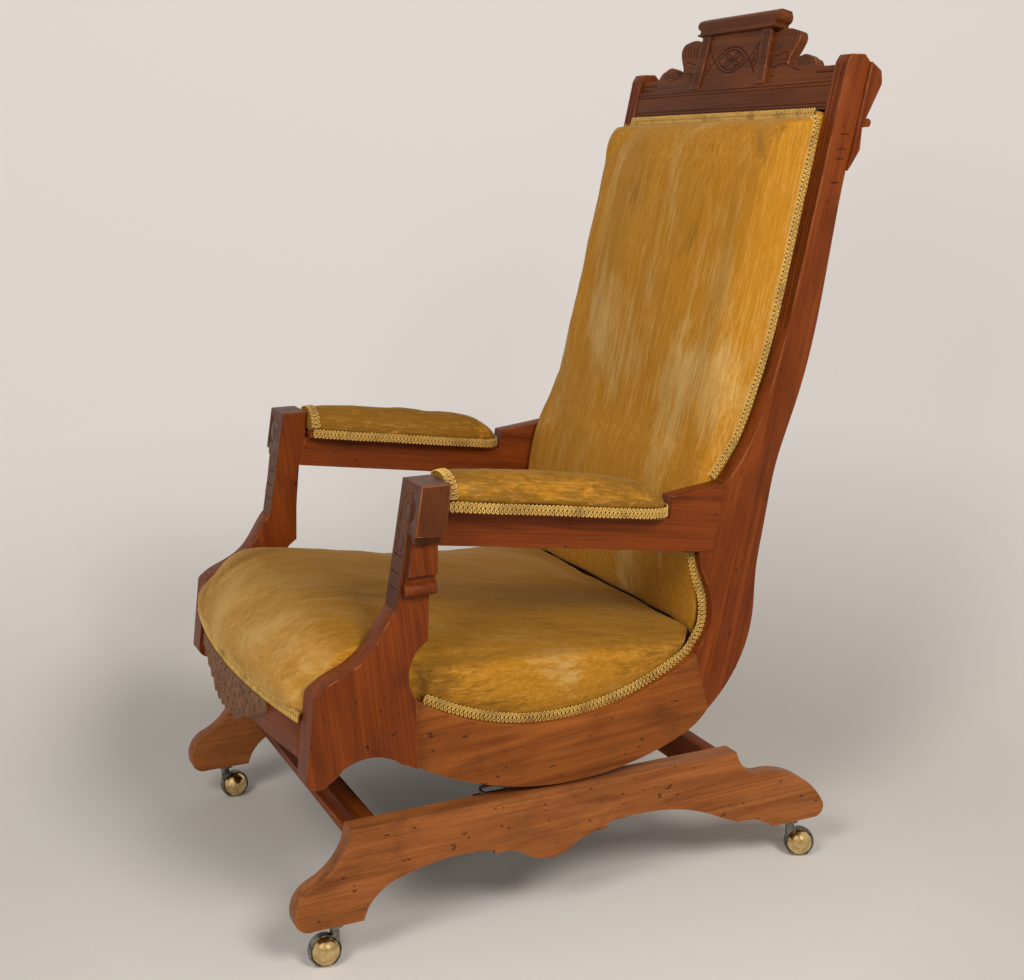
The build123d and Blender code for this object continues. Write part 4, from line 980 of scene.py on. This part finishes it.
# The seat and pads get painted shade on what faces up; the seat also gets painted light on what faces the
# front.
SEAT_VELVET = velvet("seat_velvet", (0.25, 1, 0), pale=0.1, dark=0.3, mottle=0.35, painted_shade=0.60, front=0.55)
BACK_VELVET = velvet("back_velvet", (0.02, 0.22, 1), pale=0.3, dark=-1.6, mottle=-0.10, spread=1.25)
PAD_VELVET = velvet("pad_velvet", (0.1, 1, -0.14), pale=-0.8, dark=2.4, mottle=0.9, painted_shade=0.5, spread=1.6)
seat = stuffed("seat_cushion", SEAT_VELVET, 0.0080, 0.0035, 0.0075, seat_freedom, seat_shape)
back_pad = stuffed("back_cushion", BACK_VELVET, 0.0072, 0.0035, 0.0075, back_freedom, back_shape)
pads = {}
for side in ("right", "left"):
    pads[side] = stuffed("arm_pad_" + side, PAD_VELVET, 0.0040, 0.0015, 0.0040, pad_freedom, pad_shape)

# ---------------------------------------------------------------- gimp
# A flat braid of pale gold cord with looped edges, 13 mm wide, glued and tacked over every raw
# edge of the velvet. Each run lies on the cushion under it.

GIMP_PITCH = 0.0058


def gimp_cord():
    """Pale gold rayon cord, twisted and a little grubby, with painted shade on the braid's ground under its
    loops.
    """
    finish = Finish("gimp_cord")
    strands = finish.cloud((0.0012, 0.0005, 0.0012), 2, 0.5)
    grime = finish.cloud(0.03, 4, 0.6)
    colour = finish.layered((0.43, 0.225, 0.034), ((0.80, 0.520, 0.145), strands, 0.35, 0.65),
                            ((0.25, 0.135, 0.035), grime, 0.52, 0.34, 0.6))
    # painted shade: the ground, marked deep, is darkened as if shaded by the loops over it
    deep = finish.node("ShaderNodeAttribute", {"attribute_name": "deep"}, output="Fac")
    colour = finish.mix(colour, (0.200, 0.095, 0.012), deep)
    return finish.surface(Base_Color=colour, Roughness=finish.within(strands, 0, 1) * 0.2 + 0.5,
                          bump=strands, depth=0.0003, strength=0.5, Specular_IOR_Level=0.25)


def gimp_unit():
    """One repeat of the braid: a piece of its narrow ground and two slanted loops of cord."""
    half, wide, thick = GIMP_PITCH * 0.56, 0.0056, 0.0004
    points = [(x, y, z) for z in (-0.0006, thick) for y in (-wide, wide) for x in (-half, half)]
    faces = [(0, 2, 3, 1), (4, 5, 7, 6), (0, 1, 5, 4), (2, 6, 7, 3), (0, 4, 6, 2), (1, 3, 7, 5)]
    ring = [(0.0017 * math.sin(a), 0.0029 * math.cos(a)) for a in np.linspace(0, 2 * math.pi, 11)]
    loops = [[(x + 0.45 * y * side, side * 0.0033 + y, 0.0013) for x, y in ring] for side in (1, -1)]
    unit = mesh_object("gimp_unit", *joined((points, faces), *[tube(loop, 0.00085, 5) for loop in loops]))
    # marks the ground for the cord's painted shade
    deep = unit.data.attributes.new("deep", "FLOAT", "POINT")
    for i in range(len(points)):
        deep.data[i].value = 1.0
    return unit


def repeating():
    """Repeats an object along a line of points: its X along the line, its Z the way the line's
    own face attribute says."""
    tree = bpy.data.node_groups.new("repeated_along", "GeometryNodeTree")
    keys = {}
    for name in ("Geometry", "Object", "Float", "Material"):
        socket = tree.interface.new_socket(name, in_out="INPUT", socket_type="NodeSocket" + name)
        keys[name] = socket.identifier
    tree.interface.new_socket("Geometry", in_out="OUTPUT", socket_type="NodeSocketGeometry")
    graph = Graph(tree)

    def given(name):
        return graph.node("NodeGroupInput", output=name)

    line = graph.node("GeometryNodeMeshToCurve", {}, {"Mesh": given("Geometry")})
    even = graph.node("GeometryNodeResampleCurve", {"mode": "LENGTH"}, {
        "Curve": line, "Length": given("Float")})
    along = graph.node("FunctionNodeAlignRotationToVector", {"axis": "X"}, {
        "Vector": graph.node("GeometryNodeInputTangent")})
    face = graph.node("GeometryNodeInputNamedAttribute", {"data_type": "FLOAT_VECTOR"}, {"Name": "face"})
    facing = graph.node("FunctionNodeAlignRotationToVector", {"axis": "Z", "pivot_axis": "X"}, {
        "Rotation": along, "Vector": face})
    unit = graph.node("GeometryNodeObjectInfo", {}, {"Object": given("Object")}, output="Geometry")
    placed = graph.node("GeometryNodeInstanceOnPoints", {}, {
        "Points": even, "Instance": unit, "Rotation": facing})
    whole = graph.node("GeometryNodeRealizeInstances", {}, {0: placed})
    painted = graph.node("GeometryNodeSetMaterial", {}, {"Geometry": whole, "Material": given("Material")})
    graph.node("NodeGroupOutput", {}, {0: painted})
    return tree, keys


REPEAT, REPEAT_KEYS = repeating()


def repeated(name, paths, unit, pitch, material):
    """A unit repeated along paths on the chair, each a list of points with the way they face."""
    edges, spots = [], []
    for path in paths:
        edges += [(i, i + 1) for i in range(len(spots), len(spots) + len(path) - 1)]
        spots += path
    row = mesh_object(name, [place for place, face in spots], [], None, edges)
    row.data.attributes.new("face", "FLOAT_VECTOR", "POINT").data.foreach_set(
        "vector", [value for place, face in spots for value in face])
    nodes = row.modifiers.new("row", "NODES")
    nodes.node_group = REPEAT
    for key, value in (("Object", unit), ("Float", pitch), ("Material", material)):
        nodes[REPEAT_KEYS[key]] = value
    made_plain(row)
    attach(shaded(row, 50), "chair")


def gimp(name, *paths):
    """Braid glued along paths."""
    repeated(name, paths, GIMP_UNIT, GIMP_PITCH, GIMP)


def surface_of(thing):
    """What rays can hit on a finished piece."""
    return BVHTree.FromPolygons([vert.co.copy() for vert in thing.data.vertices],
                                [tuple(face.vertices) for face in thing.data.polygons])


def laid(surface, rays, lift=0.0004):
    """Where rays, each a start and a way, land on a surface, with the way it faces there."""
    path = []
    for start, way in rays:
        place, normal, face, distance = surface.ray_cast(start, way)
        if place is not None:
            if normal.dot(way) > 0:
                normal = -normal
            path.append((place + normal * lift, normal))
    return path


def settled(path, rounds=3):
    """A laid path without the small jumps of the surface under it."""
    for _ in range(rounds):
        places = [place for place, face in path]
        faces = [face for place, face in path]
        path = [(a if 0 < i < len(path) - 1 else places[i], b) for i, (a, b) in enumerate(
            ((places[max(i - 1, 0)] + places[i] * 2 + places[min(i + 1, len(path) - 1)]) / 4,
             (faces[max(i - 1, 0)] + faces[i] + faces[min(i + 1, len(path) - 1)]).normalized())
            for i in range(len(path)))]
    return path


GIMP, GIMP_UNIT = gimp_cord(), gimp_unit()
PAD_REAR, PAD_FRONT = 0.100, -0.1675
GIMP_DROP = Vector((0, 0, 0.0078))
back_face = surface_of(back_pad)
outward = Vector((0, -math.cos(LEAN), math.sin(LEAN)))
for side, sign in SIDES:
    inward = Vector((-sign, 0, 0))
    gimp("seat_gimp_" + side, [
        (on_chair(sign * (0.2675 - 0.0040 * min(max((p.y - 0.13) / 0.03, 0), 1)), p.x, p.y), -inward)
        for p in opening_edge(0.0058)])

    spots = [(stile_front(z), z) for z in np.linspace(0.838, 0.585, 40)] + smooth_path(
        [(0.3135, 0.560), (0.295, 0.503), (0.271, 0.441), (0.246, 0.402), (0.230, 0.380)])
    path = settled(laid(back_face, [(on_chair(sign * 0.30, y - 0.0088, z), inward) for y, z in spots]))
    gimp("back_gimp_" + side, [(place + outward * 0.0006, (face + outward * 0.9).normalized())
                               for place, face in path])

    pad_face = surface_of(pads[side])
    centre = sign * (SEAT_HALF + 0.014)
    along = np.linspace(-0.170, PAD_REAR, 40)
    rays = [(on_chair(centre + 0.06, y, pad_foot(y) + 0.0065), Vector((-1, 0, 0))) for y in along]
    for a in np.radians(np.linspace(8, 172, 22)):
        way = Vector((math.cos(a), math.sin(a), 0))
        y = PAD_REAR + 0.035 * math.sin(a)
        rays.append((on_chair(centre, PAD_REAR, pad_foot(y) + 0.0065) + way * 0.07, -way))
    rays += [(on_chair(centre - 0.06, y, pad_foot(y) + 0.0065), Vector((1, 0, 0))) for y in along[::-1]]
    edge = settled([(place - GIMP_DROP + face * 0.0030, Vector((face.x, face.y, 0)).normalized())
                    for place, face in laid(pad_face, rays)])
    ways = [Vector((math.cos(a), 0, math.sin(a))) for a in np.radians(np.linspace(-8, 188, 40))]
    over = settled(laid(pad_face, [(on_chair(centre, PAD_FRONT, 0.404) + way * 0.08, -way) for way in ways]))
    gimp("arm_gimp_" + side, edge, over)

gimp("top_gimp", [(on_crest(x, -0.0070, 0.0088), outward) for x in np.linspace(-0.2385, 0.2385, 60)])
gimp("front_gimp", [(on_chair(x, bow_y(x) - 0.0036, 0.1392), Vector((0.35 * x, -1, 0.30)).normalized())
                    for x in np.linspace(-0.2505, 0.2505, 60)])

# ---------------------------------------------------------------- outside of the back
# Velvet stretched over the open back from the seat rail to the crest rail, a little behind the
# stiles' rear edges, with gimp round it.

OUTSIDE = ((0.206, 0.066), (0.246, 0.113), (0.263, 0.148), (0.273, 0.190), (0.276, 0.246), (0.288, 0.318),
           (0.301, 0.385), (0.333, 0.476), (0.356, 0.556), (0.378, 0.671),
           (stile_front(0.770) + 0.035, 0.770), (stile_front(CREST_Z) + 0.0346, CREST_Z))


def lattice(grid):
    """The points and faces of a surface from rows of points."""
    columns = len(grid[0])
    corners = [(i * columns + k, (i + 1) * columns + k)
               for i in range(len(grid) - 1) for k in range(columns - 1)]
    return [p for row in grid for p in row], [(a, a + 1, b + 1, b) for a, b in corners]


def cloth_of(name, grids, thickness, material, angle=60):
    """One or more cloths, each from rows of points, as thick as they are."""
    cloth = mesh_object(name, *joined(*[lattice(grid) for grid in grids]), material)
    return shaded(modified(cloth, "SOLIDIFY", thickness=thickness, offset=0), angle)


outside = smooth_path(OUTSIDE)
OUTSIDE_HALF = SEAT_HALF - 0.0006
grid = []
for i, p in enumerate(outside):
    row = []
    for x in np.linspace(-OUTSIDE_HALF, OUTSIDE_HALF, 33):
        pull = 0.0016 * (1 - (x / OUTSIDE_HALF) ** 2) * math.sin(math.pi * i / (len(outside) - 1))
        wrinkle = 0.0007 * noise.noise(Vector((x * 9, p.y * 4, 0)))
        row.append(on_chair(x, p.x - 0.0055 - pull + wrinkle, p.y))
    grid.append(row)
OUTSIDE_VELVET = velvet("outside_velvet", (0, 0.3, 1), dark=-2.0, mottle=-0.3, spread=1.1)
cover = cloth_of("outside_back_velvet", [grid], 0.0016, OUTSIDE_VELVET)
stands_for(cover, "outside_back_cover")
length = sum((b - a).length for a, b in zip(outside, outside[1:]))


def on_cover(x, i, way):
    """A point on the cloth's outer side, with the way it faces there."""
    way = way.normalized()
    return on_chair(x, outside[i].x - 0.0044, outside[i].y), Vector((0, way.y, -way.x))


border = [[on_cover(x, i, outside[i + 1] - outside[i - 1]) for i in range(1, len(outside) - 1)]
          for x in (-0.2445, 0.2445)]
border += [[on_cover(x, i, way) for x in np.linspace(-0.237, 0.237, 12)]
           for i, way in ((1, outside[1] - outside[0]), (-2, outside[-1] - outside[-2]))]
gimp("outside_gimp", *border)
bpy.data.objects.remove(GIMP_UNIT)

# ---------------------------------------------------------------- casters
# Grip-neck socket with a toothed plate, turned nickel-plated hood on a stem, and a brass ball
# that shows from the hood as a bright disc.


def dulled_nickel():
    """Old nickel plate: grey, brushed and stained, greenish in places."""
    finish = Finish("dulled_nickel")
    stain = finish.cloud(0.009, 5, 0.8)
    colour = finish.layered((0.085, 0.080, 0.065), ((0.26, 0.25, 0.215), stain, 0.38, 0.62),
                            ((0.035, 0.030, 0.022), stain, 0.42, 0.30, 0.7))
    return finish.surface(Base_Color=colour, Metallic=0.9, Roughness=finish.within(stain, 0, 1) * 0.25 + 0.26,
                          bump=finish.cloud(0.0012), depth=0.0001)


def polished_brass():
    """Brass ball, polished by rolling, with darker tarnish round its pits."""
    finish = Finish("polished_brass")
    scuffs = finish.cloud((0.004, 0.0006, 0.004))
    tarnish = finish.cloud(0.008, 5, 0.6)
    colour = finish.layered((0.50, 0.33, 0.115), ((0.74, 0.56, 0.27), tarnish, 0.36, 0.58))
    return finish.surface(Base_Color=colour, Metallic=1.0, bump=scuffs, depth=0.00006,
                          Roughness=finish.within(scuffs, 0, 1) * 0.14 + 0.09)


TEETH, TOOTH = 20, 0.0009
PLATE = ((0.0072, 0.0538, 0), (0.0100, 0.0538, TOOTH), (0.0104, 0.0525, TOOTH),
         (0.0100, 0.0500, TOOTH), (0.0072, 0.0500, 0))        # radius, height and teeth


def toothed_plate(name, centre):
    """The socket's plate, with teeth round its edge that bite the wood's end."""
    steps, rings = TEETH * 4, len(PLATE)
    points = []
    for radius, z, tooth in PLATE:
        for i in range(steps):
            reach = radius + (tooth if i % 4 in (1, 2) else 0)
            angle = 2 * math.pi * i / steps
            points.append((centre.x + reach * math.cos(angle), centre.y + reach * math.sin(angle), z))
    rounds = [(ring * steps, (ring + 1) % rings * steps) for ring in range(rings)]
    faces = [(a + i, b + i, b + (i + 1) % steps, a + (i + 1) % steps)
             for a, b in rounds for i in range(steps)]
    plate = mesh_object(name, points, faces, NICKEL)
    work = bmesh.new()
    work.from_mesh(plate.data)
    bmesh.ops.recalc_face_normals(work, faces=work.faces)
    work.to_mesh(plate.data)
    work.free()
    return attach(shaded(plate, 35), "base")


NICKEL, BRASS = dulled_nickel(), polished_brass()
for joint in frame["joints"]:
    if joint["name"].startswith("swivel_"):
        which = joint["name"][len("swivel_"):]
        recoloured("caster_hood_" + which, NICKEL)
        recoloured("caster_wheel_" + which, BRASS)
        recoloured("caster_socket_" + which, NICKEL)
        plate = toothed_plate("socket_plate_" + which, Vector(joint["pos_m"]))

# ---------------------------------------------------------------- platform springs and irons
# Two pairs of dark coil springs stand between strap irons screwed to the base and to the chair,
# and pull the chair back to rest.


def old_iron(name, tone, rust, roughness):
    """Blackened iron or dull spring steel, with rust in patches."""
    finish = Finish(name)
    patch = finish.cloud(0.02, 5, 0.8)
    colour = finish.layered(tone, ((0.16, 0.062, 0.026), patch, 0.50, 0.68, rust))
    return finish.surface(
        Base_Color=colour, Metallic=0.75, Roughness=finish.within(patch, 0, 1) * 0.25 + roughness,
        bump=finish.cloud(0.0015), depth=0.0002, strength=0.4)


IRON = old_iron("strap_iron", (0.060, 0.055, 0.050), 0.8, 0.42)
SPRING_STEEL = old_iron("spring_steel", (0.16, 0.15, 0.14), 0.45, 0.30)
SCREW_STEEL = old_iron("screw_steel", (0.36, 0.34, 0.30), 0.5, 0.30)
for node in ("lower_bracket_screws", "upper_bracket_screws"):
    recoloured(node, SCREW_STEEL)
recoloured("seat_springs", SPRING_STEEL)
for side in ("right", "left"):
    for level in ("lower", "upper"):
        recoloured(f"spring_bracket_{level}_{side}", IRON)
    node = "platform_spring_" + side
    coils = linked(node + "_bending", joined_mesh(node, node + "_bending"))
    coils.data.materials.append(SPRING_STEEL)
    shaded(coils, 60)
    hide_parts(node)
    low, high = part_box(node)
    middle = (low + high) / 2
    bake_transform(coils)

# ---------------------------------------------------------------- webbing and dust cover
# Jute webbing woven over and under carries the seat springs and backs the back cushion. Thin
# black cambric is tacked under the seat, sagging slightly.


def jute():
    """Plain woven jute, with the crossing threads as bumps."""
    finish = Finish("jute_webbing")
    warp = finish.cloud((0.003, 0.05, 0.003), 2)
    weft = finish.cloud((0.05, 0.003, 0.003), 2)
    colour = finish.layered((0.30, 0.20, 0.10), ((0.55, 0.42, 0.26), warp * 0.5 + weft * 0.5, 0.35, 0.65))
    return finish.surface(Base_Color=colour, Roughness=finish.within(warp, 0, 1) * 0.1 + 0.85,
                          bump=warp + weft, depth=0.0006)


def cambric():
    """Thin black cotton, faded and dusty."""
    finish = Finish("dust_cambric")
    threads = finish.cloud(0.0012, 2)
    dust = finish.cloud(0.06, 5, 0.8)
    colour = finish.layered((0.018, 0.017, 0.017), ((0.085, 0.078, 0.068), dust, 0.42, 0.70))
    return finish.surface(Base_Color=colour, Roughness=finish.within(threads, 0, 1) * 0.1 + 0.85,
                          bump=threads, depth=0.0003)


JUTE = jute()
DUST_FRONT, DUST_REAR, DUST_HALF, DUST_SLOPE = -0.352, 0.172, 0.2497, -0.0317
ROWS, COLUMNS = (-0.238, -0.118, 0.002, 0.112), (-0.125, 0.0, 0.125)
WEB_HALF, WEB_T = 0.0275, 0.0016


def dust_z(y):
    """The height of the dust cover's edges."""
    return 0.0817 + DUST_SLOPE * (y - DUST_FRONT)


def woven_z(x, y, over):
    """How far a strip stands over or under the middle of the weave, from -1 to 1."""
    wave = 0.0
    for i, row in enumerate(ROWS):
        for k, column in enumerate(COLUMNS):
            near = max(0.0, 1 - abs(y - row) / 0.055) * max(0.0, 1 - abs(x - column) / 0.055)
            wave += (1 if (i + k) % 2 else -1) * min(1.0, 2 * near)
    return wave * over


WEB_OVER = 0.009         # height over the dust cover
WEAVE = 0.5              # how far strips pass over one another, in thicknesses
ACROSS = np.linspace(-WEB_HALF, WEB_HALF, 5)


def web_point(x, y, over):
    """A point on a strip of the seat's webbing."""
    return on_chair(x, y, dust_z(y) + WEB_OVER + WEB_T * (1 + WEAVE * woven_z(x, y, over)))


def strips_for(node, name, grids):
    """Several strips of webbing as one piece."""
    stands_for(cloth_of(name, grids, WEB_T * 0.9, JUTE, 50), node)


grids = [[[web_point(x, y + w, -1) for w in ACROSS] for x in np.linspace(-0.2498, 0.2498, 81)] for y in ROWS]
for x in COLUMNS:
    start = bow_y(abs(x) + WEB_HALF) + 0.0245
    grids.append([[web_point(x + w, y, 1) for w in ACROSS] for y in np.linspace(start, 0.1715, 81)])
strips_for("seat_webbing", "seat_webbing_woven", grids)
line = smooth_path(((0.252, 0.229), (0.252, 0.2695), (0.3158, 0.5600), (0.4032, 0.8540)), 5)
grids = [[[on_chair(x + w, p.x + 0.0012, p.y) for w in ACROSS] for p in line] for x in COLUMNS]
strips_for("back_webbing", "back_webbing_strips", grids)

grid = []
for y in np.linspace(DUST_FRONT, DUST_REAR, 30):
    v = 2 * (y - DUST_FRONT) / (DUST_REAR - DUST_FRONT) - 1
    row = []
    for x in np.linspace(-DUST_HALF, DUST_HALF, 29):
        sag = 0.0022 * (1 - (x / 0.25) ** 2) * (1 - v * v)
        crease = 0.0004 * noise.noise(Vector((x * 14, y * 14, 2)))
        row.append(on_chair(x, y, dust_z(y) - 0.0004 - sag + crease))
    grid.append(row)
dust = cloth_of("dust_cover_cambric", [grid], 0.0007, cambric())
stands_for(dust, "dust_cover")
TACK_PITCH = 0.036
tack = mesh_object("tack", *tube([(0, 0, 0), (0, 0, 0.0006), (0, 0, 0.0011)], 0.0028, 10))
edges = [[(on_chair(x, y, dust_z(y) - 0.0011), Vector((0, 0, -1))) for y in np.linspace(-0.340, 0.165, 12)]
         for x in (-0.2430, 0.2430)]
repeated("dust_cover_tacks", edges, tack, TACK_PITCH, SCREW_STEEL)
bpy.data.objects.remove(tack)
